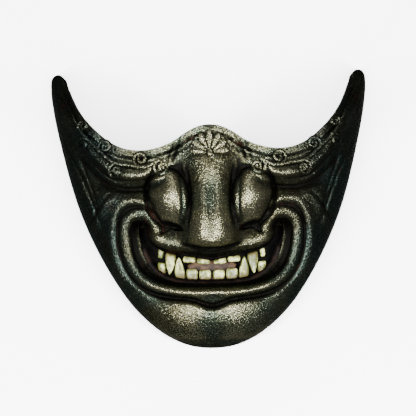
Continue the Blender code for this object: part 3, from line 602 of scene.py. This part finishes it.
def grid_normals(grid):
    normal = np.cross(np.gradient(grid, axis=1), np.gradient(grid, axis=0))
    return normal / np.linalg.norm(normal, axis=-1, keepdims=True)


x, y = plan[..., 0], plan[..., 1]
relief = features(x, y)
outside = both_sides(np.stack([x, y, smooth_face(x, y) + relief], axis=-1))
bowl = both_sides(np.stack([x, y, smooth_face(x, y)], axis=-1))
relief = both_sides(relief)
print("outside", outside.shape, "relief from", round(relief.min(), 4), "to", round(relief.max(), 4))

# %% The inside
FEATURE_REACH = 0.003           # the wall keeps clear of every feature this near
MOUTH_LAND = 0.0075             # depth of the flat seat behind the lips
LAND_FROM, LAND_TO = 0.010, 0.018   # distances from the mouth's edge between which it runs out

normal = grid_normals(bowl[::2, ::2])[::COARSE // 2, ::COARSE // 2]
bowl = bowl[::COARSE, ::COARSE]
bx, by = bowl[..., 0], bowl[..., 1]
lowest = features(bx, by, False)
for k in range(8):
    a = k * math.pi / 4
    near_x, near_y = bx + FEATURE_REACH * math.cos(a), by + FEATURE_REACH * math.sin(a)
    lowest = np.minimum(lowest, features(near_x, near_y, False))
depth = WALL - lowest * normal[..., 2]
land = 1 - smooth_step(LAND_FROM, LAND_TO, np.abs(nearest(np.abs(bx), by, MOUTH_EDGE)[0]))
depth = depth + (MOUTH_LAND - depth) * land
inside = bowl - depth[..., None] * normal
half_way = (outside[::COARSE, ::COARSE, 2] - rim_height(outside[::COARSE, ::COARSE, 1])) / 2
inside[..., 2] = np.maximum(inside[..., 2], rim_height(inside[..., 1]) + half_way)
inside[0, :, 2] = rim_height(inside[0, :, 1])

SHIFT = np.array([0.0, cad_low.y - lie_down(outside)[..., 1].min(), 0.0])
print("inside", inside.shape, "shift", round(SHIFT[1], 5))

# %% [markdown]
# ## Wear, dark hollows and painted shade
#
# Paint rubs off where the face stands out, and the colour is darker where it dips. The height of
# the relief over its own blurred copy says which is which. It is stored on the mesh as an attribute,
# which the finish reads later. Close to the mouth it is darker still, a painted shade round the lips.

# %% Measure ridges and hollows
# how often the relief is blurred, the height that counts as one, and its share of the mark
FINE_BLUR, FINE_SCALE, FINE_SHARE = 24, 0.0009, 0.25
BROAD_BLUR, BROAD_SCALE, BROAD_SHARE = 260, 0.0040, 0.22
# painted shade round the lips: how far from the mouth's edge it reaches, and how much it lowers the ridge
# mark
LIP_SHADE_REACH, LIP_SHADE_SHARE = 0.0095, 0.16    # distance from the mouth's edge, and share


def blurred(field, times):
    for _ in range(times):
        f = np.pad(field, 1, mode="edge")
        field = (f[:-2, 1:-1] + f[2:, 1:-1] + f[1:-1, :-2] + f[1:-1, 2:] + 4 * field) / 8
    return field


fine_ridge = (relief - blurred(relief, FINE_BLUR)) / FINE_SCALE
broad_ridge = (relief - blurred(relief, BROAD_BLUR)) / BROAD_SCALE
# painted shade: the mark is lowered near the mouth's edge, which darkens the paint there
lip_shade = both_sides(np.exp(-(nearest(x, y, MOUTH_EDGE)[0] / LIP_SHADE_REACH) ** 2))
marked = 0.5 + FINE_SHARE * fine_ridge + BROAD_SHARE * broad_ridge - LIP_SHADE_SHARE * lip_shade
ridge = np.clip(marked, 0, 1)
print("ridge from", round(ridge.min(), 2), "to", round(ridge.max(), 2), "mean", round(ridge.mean(), 2))

# %% An object from points and faces
def add_object(name, data):
    made = bpy.data.objects.new(name, data)
    bpy.context.scene.collection.objects.link(made)
    return made


def new_mesh(name, points, faces):
    mesh = bpy.data.meshes.new(name)
    mesh.from_pydata([tuple(p) for p in points], [], faces)
    mesh.update()
    return add_object(name, mesh)


def mark_points(piece, name, values):
    """Store one number for each point, which a finish reads by its name."""
    mark = piece.data.attributes.new(name, "FLOAT", "POINT")
    mark.data.foreach_set("value", values)


def make_active(piece):
    bpy.ops.object.select_all(action="DESELECT")
    bpy.context.view_layer.objects.active = piece


rows, cols = outside.shape[:2]
in_rows, in_cols = inside.shape[:2]
mid = cols // 2
low_row, high_row = CHIN_ROWS, CHIN_ROWS + MOUTH_ROWS
print("points:", rows * cols, "outside and", in_rows * in_cols, "inside")

# %% Faces of the two skins
def out_node(r, c):
    return r * cols + c


def in_node(r, c):
    return rows * cols + r * in_cols + c


def in_mouth(r, c):
    return low_row <= r < high_row and mid - CORNER_COLUMNS <= c < mid + CORNER_COLUMNS


def skin(node, rows, cols, step):
    """Quads of one skin, with the mouth left out; step is its spacing in the outside's nodes."""
    quads = []
    for r in range(rows - 1):
        for c in range(cols - 1):
            if not in_mouth(step * r, step * c):
                quads.append((node(r, c), node(r, c + 1), node(r + 1, c + 1), node(r + 1, c)))
    return quads


faces = skin(out_node, rows, cols, 1)
faces += [(a, d, c, b) for a, b, c, d in skin(in_node, in_rows, in_cols, COARSE)]
print("outside and inside faces:", len(faces))

# %% [markdown]
# ## Closing the edges
#
# The outside has four edges for each one of the inside. Along the rim, the top edge and round the
# mouth, a fan of four triangles and one more joins each pair, which makes the cast wall's edge.

# %% Join the two skins
def once_round(node, low, high, left, right):
    around = [node(low, c) for c in range(left, right)]
    around += [node(r, right) for r in range(low, high)]
    around += [node(high, c) for c in range(right, left, -1)]
    around += [node(r, left) for r in range(high, low, -1)]
    return around + around[:1]


def border(*box):
    outer = once_round(out_node, *box)
    inner = once_round(in_node, *(v // COARSE for v in box))
    strip = []
    for i in range(len(inner) - 1):
        fan = outer[COARSE * i:COARSE * i + COARSE + 1]
        half = COARSE // 2
        strip += [(fan[k], fan[k + 1], inner[i]) for k in range(half)]
        strip.append((fan[half], inner[i + 1], inner[i]))
        strip += [(fan[k], fan[k + 1], inner[i + 1]) for k in range(half, COARSE)]
    return strip


faces += border(0, rows - 1, 0, cols - 1)
faces += border(low_row, high_row, mid - CORNER_COLUMNS, mid + CORNER_COLUMNS)
print("faces with the edges closed:", len(faces))

# %% The shell and its two attributes
INSIDE_RIDGE = 0.45
points = lie_down(np.vstack([outside.reshape(-1, 3), inside.reshape(-1, 3)])) + SHIFT
shell = new_mesh("shell", points, faces)
mark_points(shell, "ridge", np.concatenate([ridge.ravel(), np.full(in_rows * in_cols, INSIDE_RIDGE)]))
# the inside is raw but for its borders and the seat round the mouth, which show from the front
raw_inside = 1 - land
raw_inside[[0, -1], :] = 0
raw_inside[:, [0, -1]] = 0
mark_points(shell, "inner", np.concatenate([np.zeros(rows * cols), raw_inside.ravel()]))
print("attributes:", [m.name for m in shell.data.attributes if m.name in ("ridge", "inner")])

# %% Drop loose points and turn the faces outwards
work = bmesh.new()
work.from_mesh(shell.data)
bmesh.ops.delete(work, geom=[v for v in work.verts if not v.link_faces], context="VERTS")
bmesh.ops.recalc_face_normals(work, faces=work.faces)
if work.calc_volume(signed=True) < 0:
    bmesh.ops.reverse_faces(work, faces=work.faces)
work.to_mesh(shell.data)
work.free()
print("shell faces:", len(shell.data.polygons))

# %% [markdown]
# ## Strap slots
#
# Each side has a slot near the rim for a strap, cut straight through the wall. It could be a hole
# in the grid, but a boolean keeps the grid even. The cutter is a cylinder whose two halves are
# pulled apart, which gives the slot round ends.

# %% Cut the slots
SLOT_LENGTH = 0.015
SLOT_WIDTH = 0.005
SLOT_HEIGHT = 0.011
SLOT_FROM_TIP = 0.048
SLOT_ACROSS = 0.93              # place of the cutter's middle, as a share of the half width
CUTTER_DEPTH = 0.3 * HALF
for side in (1, -1):
    bpy.ops.mesh.primitive_cylinder_add(vertices=32, radius=SLOT_WIDTH / 2, depth=CUTTER_DEPTH,
                                        rotation=(0, math.pi / 2, 0))
    cutter = bpy.context.object
    bpy.ops.object.transform_apply(location=False, rotation=True, scale=False)
    for v in cutter.data.vertices:
        v.co.y += math.copysign((SLOT_LENGTH - SLOT_WIDTH) / 2, v.co.y)
    cutter.location = (side * SLOT_ACROSS * HALF, cad_high.y - SLOT_FROM_TIP, SLOT_HEIGHT)
    change = shell.modifiers.new("slot", "BOOLEAN")
    change.operation = "DIFFERENCE"
    change.solver = "EXACT"
    change.object = cutter
    make_active(shell)
    bpy.ops.object.modifier_apply(modifier=change.name)
    bpy.data.objects.remove(cutter)
print("shell faces with slots:", len(shell.data.polygons))

# %% Shade the shell
SMOOTH_UNDER = math.radians(50)
make_active(shell)
shell.select_set(True)
bpy.ops.object.shade_smooth_by_angle(angle=SMOOTH_UNDER)
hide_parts("face_shell")
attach(shell, "root")
print("shell done")

# %% [markdown]
# ## Raised ornament
#
# The fan and the vine are half-round beads laid along their paths. A curve with a round bevel could
# do it, but it would twist where the face turns away. So each ring of a bead is set out from the
# face's own normal and sunk a little, and the bead reads as part of the casting.

# %% Points and normals on the face
NORMAL_STEP = 0.0006


def on_surface(x, y):
    """Points on the face and its unit normals, in the face frame."""
    h = NORMAL_STEP
    z = smooth_face(x, y) + features(x, y, False)
    dx = (smooth_face(x + h, y) + features(x + h, y, False) - z) / h
    dy = (smooth_face(x, y + h) + features(x, y + h, False) - z) / h
    n = np.stack([-dx, -dy, np.ones_like(z)], axis=-1)
    return np.stack([x, y, z], axis=-1), n / np.linalg.norm(n, axis=-1, keepdims=True)


print("the fan's middle:", on_surface(*FAN_AT[:, None])[0][0].round(4))

# %% A bead along a path
AROUND = np.arange(10) * math.tau / 10
BEAD_SUNK = 0.1                 # share of its height
BEAD_TAPER = 1.3                # the higher, the sooner a narrow end reaches full height


def bead(path, widths, height):
    """Points and faces of a closed, half-round bead that lies on the face along a plan path."""
    at, up = on_surface(path[:, 0], path[:, 1])
    ahead = np.gradient(at, axis=0)
    ahead /= np.linalg.norm(ahead, axis=1, keepdims=True)
    across = np.cross(ahead, up)
    rings = []
    for k, w in enumerate(widths):
        h = height * min(1.0, w / max(widths) * BEAD_TAPER)
        out = (h * np.sin(AROUND) - BEAD_SUNK * h)[:, None]
        rings.append(at[k] + across[k] * (w * np.cos(AROUND))[:, None] + up[k] * out)
    n = len(AROUND)
    faces = [tuple(range(n - 1, -1, -1)), tuple(range((len(rings) - 1) * n, len(rings) * n))]
    for r in range(len(rings) - 1):
        a, b = r * n, (r + 1) * n
        faces += [(a + i, a + (i + 1) % n, b + (i + 1) % n, b + i) for i in range(n)]
    return np.vstack(rings), faces


print("points round a bead:", len(AROUND))

# %% Many beads as one piece
BEAD_RIDGE = 0.34               # ridge value at a bead's foot, and what its top adds


def join_beads(name, beads):
    points, faces, marks, n = [], [], [], 0
    around = BEAD_RIDGE + BEAD_RIDGE * np.clip(np.sin(AROUND), 0, 1)
    for p, f in beads:
        points.append(p)
        faces += [tuple(i + n for i in face) for face in f]
        marks.append(np.tile(around, len(p) // len(AROUND)))
        n += len(p)
    made = new_mesh(name, lie_down(np.vstack(points)) + SHIFT, faces)
    work = bmesh.new()
    work.from_mesh(made.data)
    bmesh.ops.recalc_face_normals(work, faces=work.faces)
    work.to_mesh(made.data)
    work.free()
    made.data.shade_smooth()
    mark_points(made, "ridge", np.concatenate(marks))
    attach(made, "root")
    print(name, "faces:", len(made.data.polygons))
    return made

# %% The fan
PETAL_FOOT, PETAL_SWELL, PETAL_HEIGHT = 0.0006, 0.0021, 0.0019
PETAL_LEAN = 1.6                # above 1, a petal is widest towards its end
PETAL_BLUNT = 0.8               # below 1, its sides are fuller
BOSS_HEIGHT = 0.0022
petal_beads = []
for path in PETALS:
    t = np.linspace(0, 1, len(path))
    fat = PETAL_FOOT + PETAL_SWELL * np.sin(math.pi * t ** PETAL_LEAN) ** PETAL_BLUNT
    petal_beads.append(bead(path, fat, PETAL_HEIGHT))
boss_width = BOSS_HALF * np.sqrt(np.clip(1 - np.linspace(-1, 1, len(BOSS)) ** 2, 0.02, 1))
ornament = [join_beads("bridge_fan", petal_beads + [bead(BOSS, boss_width, BOSS_HEIGHT)])]

# %% The vines
STEM_WIDTH, STEM_END = 0.0015, 0.5      # half width at the root, and the share left at the end
CURL_WIDTH, CURL_END = 0.0014, 0.75
VINE_HEIGHT = 0.0015
for side, hand in ((1, "left"), (-1, "right")):
    flip = np.array([side, 1.0])
    stem_width = STEM_WIDTH * np.linspace(1, STEM_END, len(STEM))
    curl_width = CURL_WIDTH * np.linspace(1, CURL_END, len(CURLS[0]))
    vine = [bead(STEM * flip, stem_width, VINE_HEIGHT)]
    vine += [bead(curl * flip, curl_width, VINE_HEIGHT) for curl in CURLS]
    ornament.append(join_beads(f"cheek_vine_{hand}", vine))

# %% [markdown]
# ## Teeth, gums and the dark behind them
#
# The solids already have these at the right size and place. A cube could be bevelled into each
# tooth, but a merged copy of the solid, smoothed by subdivision, keeps its taper and its seat. The
# solids' loose triangles are merged first, and joined to quads, so that the subdivision is even.

# %% Smooth copies of the small solids
MERGE_WITHIN = 0.00001


def smooth_copy(node, levels):
    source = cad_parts[node]
    made = source.copy()
    made.data = source.data.copy()
    made.name = "fine_" + node
    made.data.name = made.name
    for key in list(made.keys()):
        del made[key]
    made.parent = None
    made.data.materials.clear()
    bpy.context.scene.collection.objects.link(made)
    work = bmesh.new()
    work.from_mesh(made.data)
    bmesh.ops.remove_doubles(work, verts=work.verts, dist=MERGE_WITHIN)
    bmesh.ops.join_triangles(work, faces=work.faces,
                             angle_face_threshold=0.7, angle_shape_threshold=1.2)
    work.to_mesh(made.data)
    work.free()
    change = made.modifiers.new("smooth", "SUBSURF")
    change.levels = change.render_levels = levels
    make_active(made)
    bpy.ops.object.modifier_apply(modifier=change.name)
    made.data.shade_smooth()
    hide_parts(node)
    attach(made, "root")
    return made

# %% The teeth, each with its height from gum to tip as an attribute
teeth = []
for node in sorted(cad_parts):
    if any(kind in node for kind in ("_incisor", "_canine", "_molar")):
        tooth = smooth_copy(node, 2)
        co = np.array([v.co for v in tooth.data.vertices])
        share = (co[:, 1] - co[:, 1].min()) / np.ptp(co[:, 1])
        crown = share if node.startswith("lower") else 1 - share
        mark_points(tooth, "crown", crown)
        teeth.append(tooth)
print("teeth:", len(teeth))

# %% Gums, tongue and liner
lower_gum = smooth_copy("lower_gum", 2)
upper_gum = smooth_copy("upper_gum", 2)
tongue = smooth_copy("tongue", 2)
liner = smooth_copy("mouth_liner", 1)
print("behind the teeth:", [piece.name for piece in (lower_gum, upper_gum, tongue, liner)])

# %% [markdown]
# ## Shared effects
#
# The grain of a casting and the wear that follows the ridge attribute are node groups with named
# sockets, each built once and placed in a finish with its own values. Both put out masks and a
# height alone, and the shader stays in the material. Short helpers keep the node code readable.

# %% A group with named sockets
def group(name, inputs, outputs):
    tree = bpy.data.node_groups.new(name, "ShaderNodeTree")
    for title, kind, value in inputs:
        socket = tree.interface.new_socket(title, in_out="INPUT", socket_type=kind)
        if value is not None:
            socket.default_value = value
    for title, kind in outputs:
        tree.interface.new_socket(title, in_out="OUTPUT", socket_type=kind)
    return tree, tree.nodes.new("NodeGroupInput"), tree.nodes.new("NodeGroupOutput")


def put(tree, socket, value):
    """Set a socket to a number or link it to another socket."""
    if isinstance(value, (int, float)):
        socket.default_value = value
    else:
        tree.links.new(value, socket)

# %% Patterns
def noise(tree, scale, detail=4.0, rough=0.55):
    """A noise texture on object coordinates; scale is a number or a socket, in cells per metre."""
    node = tree.nodes.new("ShaderNodeTexNoise")
    coords = tree.nodes.new("ShaderNodeTexCoord")
    tree.links.new(coords.outputs["Object"], node.inputs["Vector"])
    put(tree, node.inputs["Scale"], scale)
    node.inputs["Detail"].default_value = detail
    node.inputs["Roughness"].default_value = rough
    return node.outputs["Fac"]


def ramp(tree, value, low, high):
    """0 at low and 1 at high, with soft ends."""
    node = tree.nodes.new("ShaderNodeMapRange")
    node.interpolation_type = "SMOOTHSTEP"
    tree.links.new(value, node.inputs["Value"])
    node.inputs["From Min"].default_value = low
    node.inputs["From Max"].default_value = high
    return node.outputs["Result"]

# %% Sums of masks and mixes of colours
def maths(tree, operation, a, b):
    node = tree.nodes.new("ShaderNodeMath")
    node.operation = operation
    for socket, value in zip(node.inputs, (a, b)):
        put(tree, socket, value)
    return node.outputs["Value"]


def times(tree, a, b):
    return maths(tree, "MULTIPLY", a, b)


def plus(tree, a, b):
    return maths(tree, "ADD", a, b)


def blend(tree, mask, a, b):
    """Colour a where the mask is 0 and b where it is 1."""
    node = tree.nodes.new("ShaderNodeMix")
    node.data_type = "RGBA"
    tree.links.new(mask, node.inputs["Factor"])
    for socket, value in ((node.inputs[6], a), (node.inputs[7], b)):
        if isinstance(value, tuple):
            socket.default_value = (*value, 1.0)
        else:
            tree.links.new(value, socket)
    return node.outputs[2]

# %% The cast grain
grain, grain_in, grain_out = group(
    "cast_grain", [("Size", "NodeSocketFloat", 900.0)],
    [("Height", "NodeSocketFloat"), ("Pits", "NodeSocketFloat")])
small = noise(grain, grain_in.outputs["Size"], 3.0, 0.6)
cells = grain.nodes.new("ShaderNodeTexVoronoi")
coords = grain.nodes.new("ShaderNodeTexCoord")
grain.links.new(coords.outputs["Object"], cells.inputs["Vector"])
grain.links.new(times(grain, grain_in.outputs["Size"], 1.1), cells.inputs["Scale"])
pits = ramp(grain, cells.outputs["Distance"], 0.15, 0.75)
grain.links.new(plus(grain, small, times(grain, pits, -0.5)), grain_out.inputs["Height"])
grain.links.new(pits, grain_out.inputs["Pits"])
print("grain nodes:", len(grain.nodes))

# %% Wear that follows the ridges
wear, wear_in, wear_out = group(
    "ridge_wear", [("Ridge", "NodeSocketFloat", 0.5), ("Break Up", "NodeSocketFloat", 0.25)],
    [("Rubbed", "NodeSocketFloat"), ("In Hollows", "NodeSocketFloat")])
patches = maths(wear, "SUBTRACT", noise(wear, 160.0, 5.0, 0.62), 0.5)
uneven = plus(wear, wear_in.outputs["Ridge"], times(wear, patches, wear_in.outputs["Break Up"]))
wear.links.new(ramp(wear, uneven, 0.50, 0.82), wear_out.inputs["Rubbed"])
wear.links.new(ramp(wear, uneven, 0.50, 0.24), wear_out.inputs["In Hollows"])
print("groups:", [g.name for g in bpy.data.node_groups])

# %% [markdown]
# ## Bronze-black
#
# The casting is painted near black with a green cast, and bronze shows on what stands out. The
# middle of the face is painted lighter and more olive, with brighter worn bronze, a painted front
# light that leaves the sides darker. Reddish brown stays in the grooves. The grain is coarse enough
# to catch a lamp in tiny bright points, and pale specks are painted on as glints as well, most in the
# middle. A metal's colour is its reflection, so the paint is nearly all metallic and dark. The inside
# was never painted: it is dull, and not metallic.

# %% Materials and what goes into them
def material(name):
    made = bpy.data.materials.new(name)
    made.use_nodes = True
    tree = made.node_tree
    return made, tree, tree.nodes["Principled BSDF"]


def placed(tree, shared, **values):
    node = tree.nodes.new("ShaderNodeGroup")
    node.node_tree = shared
    for title, value in values.items():
        put(tree, node.inputs[title.replace("_", " ")], value)
    return node


def attribute(tree, name):
    node = tree.nodes.new("ShaderNodeAttribute")
    node.attribute_name = name
    return node.outputs["Fac"]


def bumped(tree, surface, height, strength, distance):
    node = tree.nodes.new("ShaderNodeBump")
    node.inputs["Strength"].default_value = strength
    node.inputs["Distance"].default_value = distance
    tree.links.new(height, node.inputs["Height"])
    tree.links.new(node.outputs["Normal"], surface.inputs["Normal"])

# %% Masks of the bronze-black finish
bronze, tree, surface = material("bronze_black")
inner = attribute(tree, "inner")
worn = placed(tree, wear, Ridge=attribute(tree, "ridge"), Break_Up=0.30)
cast = placed(tree, grain, Size=900.0)
# painted highlights: pale specks of noise that stand in for glints on the grain
glint_spots = ramp(tree, noise(tree, 1150.0, 2.0, 0.8), 0.56, 0.66)
coords = tree.nodes.new("ShaderNodeTexCoord")
place = tree.nodes.new("ShaderNodeSeparateXYZ")
tree.links.new(coords.outputs["Object"], place.inputs["Vector"])
sideways = maths(tree, "ABSOLUTE", place.outputs["X"], 0.0)
# painted front light: 1 in the middle of the face and 0 at the sides; the colours below make the middle
# lighter and more olive and leave the sides darker, as if lit from the front
middle = ramp(tree, sideways, 0.066, 0.026)
tint = ramp(tree, noise(tree, 28.0, 3.0), 0.40, 0.62)
rust = ramp(tree, noise(tree, 55.0, 4.0), 0.56, 0.70)
# painted front light: the worn bronze shows most in the middle of the face
front_lit_share = plus(tree, times(tree, middle, 0.65), 0.35)
painted_glints = times(tree, glint_spots, plus(tree, times(tree, middle, 0.55), 0.25))
print("nodes for the masks:", len(tree.nodes))

# %% Its colours, from the paint up
base = blend(tree, tint, (0.026, 0.028, 0.018), (0.017, 0.032, 0.029))
base = blend(tree, times(tree, rust, 0.5), base, (0.034, 0.020, 0.014))
# painted front light: an olive colour lightens the middle of the face
olive = blend(tree, tint, (0.125, 0.118, 0.055), (0.075, 0.095, 0.058))
base = blend(tree, times(tree, middle, 0.5), base, olive)
# worn bronze colour, lighter in the middle as painted front light
rubbed = blend(tree, middle, (0.060, 0.068, 0.052), (0.215, 0.205, 0.120))
base = blend(tree, times(tree, worn.outputs["Rubbed"], front_lit_share), base, rubbed)
# painted glints: pale specks laid over the colour, most in the middle of the face
base = blend(tree, painted_glints, base, (0.28, 0.28, 0.22))
# darker where the face dips: nearly black, with rust-brown in patches
in_grooves = blend(tree, rust, (0.003, 0.003, 0.0025), (0.026, 0.009, 0.005))
base = blend(tree, worn.outputs["In Hollows"], base, in_grooves)
base = blend(tree, times(tree, cast.outputs["Pits"], 0.60), base, (0.004, 0.004, 0.003))
clouds = ramp(tree, noise(tree, 90.0, 5.0), 0.35, 0.65)
raw = blend(tree, clouds, (0.014, 0.0135, 0.012), (0.036, 0.035, 0.031))
tree.links.new(blend(tree, inner, base, raw), surface.inputs["Base Color"])
print("nodes with the colours:", len(tree.nodes))

# %% Its metal, gloss and grain
METAL = 0.95
GLOSS, GLOSS_LOST_IN_HOLLOWS, GLOSS_LOST_TO_PITS = 0.21, 0.30, 0.10
tree.links.new(maths(tree, "SUBTRACT", METAL, times(tree, inner, METAL)), surface.inputs["Metallic"])
surface.inputs["Specular Tint"].default_value = (0.35, 0.35, 0.33, 1.0)
rough = plus(tree, times(tree, worn.outputs["In Hollows"], GLOSS_LOST_IN_HOLLOWS), GLOSS)
rough = plus(tree, rough, times(tree, cast.outputs["Pits"], GLOSS_LOST_TO_PITS))
tree.links.new(rough, surface.inputs["Roughness"])
bumped(tree, surface, cast.outputs["Height"], strength=0.52, distance=0.0006)
for piece in [shell, *ornament]:
    piece.data.materials.clear()
    piece.data.materials.append(bronze)
print("bronze nodes:", len(tree.nodes))

# %% [markdown]
# ## Ivory, gums and the dark
#
# The teeth are painted a yellow-green ivory, blotched, that darkens to brown at the gum: a stain, and
# also painted shade there. The tongue is dull red-brown. The gums are red-brown darkened nearly to
# black, partly painted shade, and the tray behind is a black backing made nearly black as painted
# shade, so that the mouth reads as deep. A picture of teeth could be laid on them, but two noises
# and the crown attribute give each tooth its own stains and its darker root.

# %% The teeth's finish
ivory, tree, surface = material("tooth_ivory")
small, large = noise(tree, 330.0, 4.0, 0.6), noise(tree, 110.0, 1.0)
patchy = plus(tree, times(tree, small, 0.6), times(tree, large, 0.4))
base = blend(tree, ramp(tree, patchy, 0.46, 0.60), (0.060, 0.070, 0.012), (0.42, 0.44, 0.15))
# darker towards the gum: a brown stain, and also painted shade where the gum covers the root
from_gum = plus(tree, attribute(tree, "crown"), times(tree, noise(tree, 520.0), 0.35))
base = blend(tree, ramp(tree, from_gum, 0.74, 0.14), base, (0.07, 0.055, 0.02))
tree.links.new(base, surface.inputs["Base Color"])
surface.inputs["Roughness"].default_value = 0.34
bumped(tree, surface, noise(tree, 600.0, 3.0), strength=0.7, distance=0.0004)
for tooth in teeth:
    tooth.data.materials.append(ivory)
print("ivory nodes:", len(tree.nodes))

# %% Gum, tongue and liner finishes
def dull(name, dark, light, rough, gloss, scale, pieces):
    """A matt finish of two shades; gloss is how much of a plastic's reflection is left."""
    made, tree, surface = material(name)
    spots = ramp(tree, noise(tree, scale, 4.0), 0.38, 0.66)
    tree.links.new(blend(tree, spots, dark, light), surface.inputs["Base Color"])
    tree.links.new(plus(tree, times(tree, spots, 0.15), rough), surface.inputs["Roughness"])
    surface.inputs["Specular IOR Level"].default_value = gloss
    fine = placed(tree, grain, Size=700.0)
    bumped(tree, surface, fine.outputs["Height"], strength=0.4, distance=0.0004)
    for piece in pieces:
        piece.data.materials.append(made)


# partly painted shade: the gums are red-brown darkened nearly to black, so they read as the dark gap by
# the teeth
dull("gum_brown", (0.0015, 0.0010, 0.0008), (0.008, 0.004, 0.0025), 0.60, 0.06, 240.0,
     (lower_gum, upper_gum))
dull("tongue_brown", (0.016, 0.008, 0.004), (0.060, 0.034, 0.018), 0.48, 0.15, 260.0, (tongue,))
# painted shade: the tray is a black backing, made nearly black so that the mouth reads as deep shade
dull("liner_black", (0.0015, 0.0015, 0.0015), (0.004, 0.0035, 0.003), 0.85, 0.05, 120.0, (liner,))
print("materials:", sorted(m.name for m in bpy.data.materials))

# %% [markdown]
# ## Floor, light and camera
#
# The mask lies on a plain pale floor. A dark object makes a studio look dim, so the floor gives a
# little light of its own. Glossy rays don't see it, or the steep cheeks would mirror it and turn
# pale. Two tall soft boxes stand left and right of the camera and draw the paired highlights on nose
# and chin, and a third, dim one lifts the top edge. The dome is brightest overhead and towards the
# camera, with a dim strip in its middle that keeps the pair apart. The camera is long, and looks
# nearly straight at the face from the chin's side.

# %% The floor
bpy.ops.object.select_all(action="DESELECT")
bpy.ops.mesh.primitive_plane_add(size=6.0, location=(0, 0, 0))
floor = bpy.context.object
floor.name = "floor"
pale, tree, surface = material("pale_floor")
surface.inputs["Base Color"].default_value = (0.96, 0.96, 0.96, 1.0)
surface.inputs["Roughness"].default_value = 0.85
surface.inputs["Emission Color"].default_value = (1.0, 1.0, 1.0, 1.0)
surface.inputs["Emission Strength"].default_value = 2.8
floor.data.materials.append(pale)
floor.visible_glossy = False
print("floor:", round(floor.dimensions.x, 1), "m wide")

# %% Soft boxes
def soft_box(name, at, size, watts, aim=(0.0, 0.0, 0.04)):
    lamp = bpy.data.lights.new(name, "AREA")
    lamp.shape = "RECTANGLE"
    lamp.size, lamp.size_y = size
    lamp.energy = watts
    made = add_object(name, lamp)
    made.location = at
    made.rotation_euler = (Vector(aim) - Vector(at)).to_track_quat("-Z", "Y").to_euler()
    return made


soft_box("left_box", (-0.46, -0.34, 0.78), (0.10, 0.90), 34.0)
soft_box("right_box", (0.46, -0.34, 0.78), (0.10, 0.90), 34.0)
soft_box("top_box", (0.0, 0.85, 0.55), (0.60, 0.20), 6.0)

# %% The dome
world = bpy.context.scene.world or bpy.data.worlds.new("studio")
bpy.context.scene.world = world
world.use_nodes = True
sky = world.node_tree
toward = sky.nodes.new("ShaderNodeTexCoord")
split = sky.nodes.new("ShaderNodeSeparateXYZ")
sky.links.new(toward.outputs["Generated"], split.inputs["Vector"])
leaned = plus(sky, times(sky, split.outputs["Z"], 0.93), times(sky, split.outputs["Y"], -0.36))
overhead = ramp(sky, leaned, 0.25, 0.95)
off_centre = ramp(sky, maths(sky, "ABSOLUTE", split.outputs["X"], 0.0), 0.03, 0.40)
lit = times(sky, overhead, plus(sky, times(sky, off_centre, 0.80), 0.20))
shown = blend(sky, lit, (0.17, 0.18, 0.18), (0.54, 0.54, 0.52))
sky.links.new(shown, sky.nodes["Background"].inputs["Color"])
sky.nodes["Background"].inputs["Strength"].default_value = 0.95
print("dome nodes:", len(sky.nodes))

# %% The camera
ELEVATION = math.radians(78)
DISTANCE = 1.25
ROLL = math.radians(-1.1)
AIM = Vector((-0.0016, -0.0064, 0.040))
lens = bpy.data.cameras.new("camera")
lens.sensor_width = 36.0
lens.lens = 180.5
camera = add_object("camera", lens)
back = Vector((0.0, -math.cos(ELEVATION), math.sin(ELEVATION)))
camera.location = AIM + back * DISTANCE
turned = (-back).to_track_quat("-Z", "Y") @ Quaternion((0, 0, 1), ROLL)
camera.rotation_euler = turned.to_euler()
bpy.context.scene.camera = camera
print("camera at", [round(v, 3) for v in camera.location])
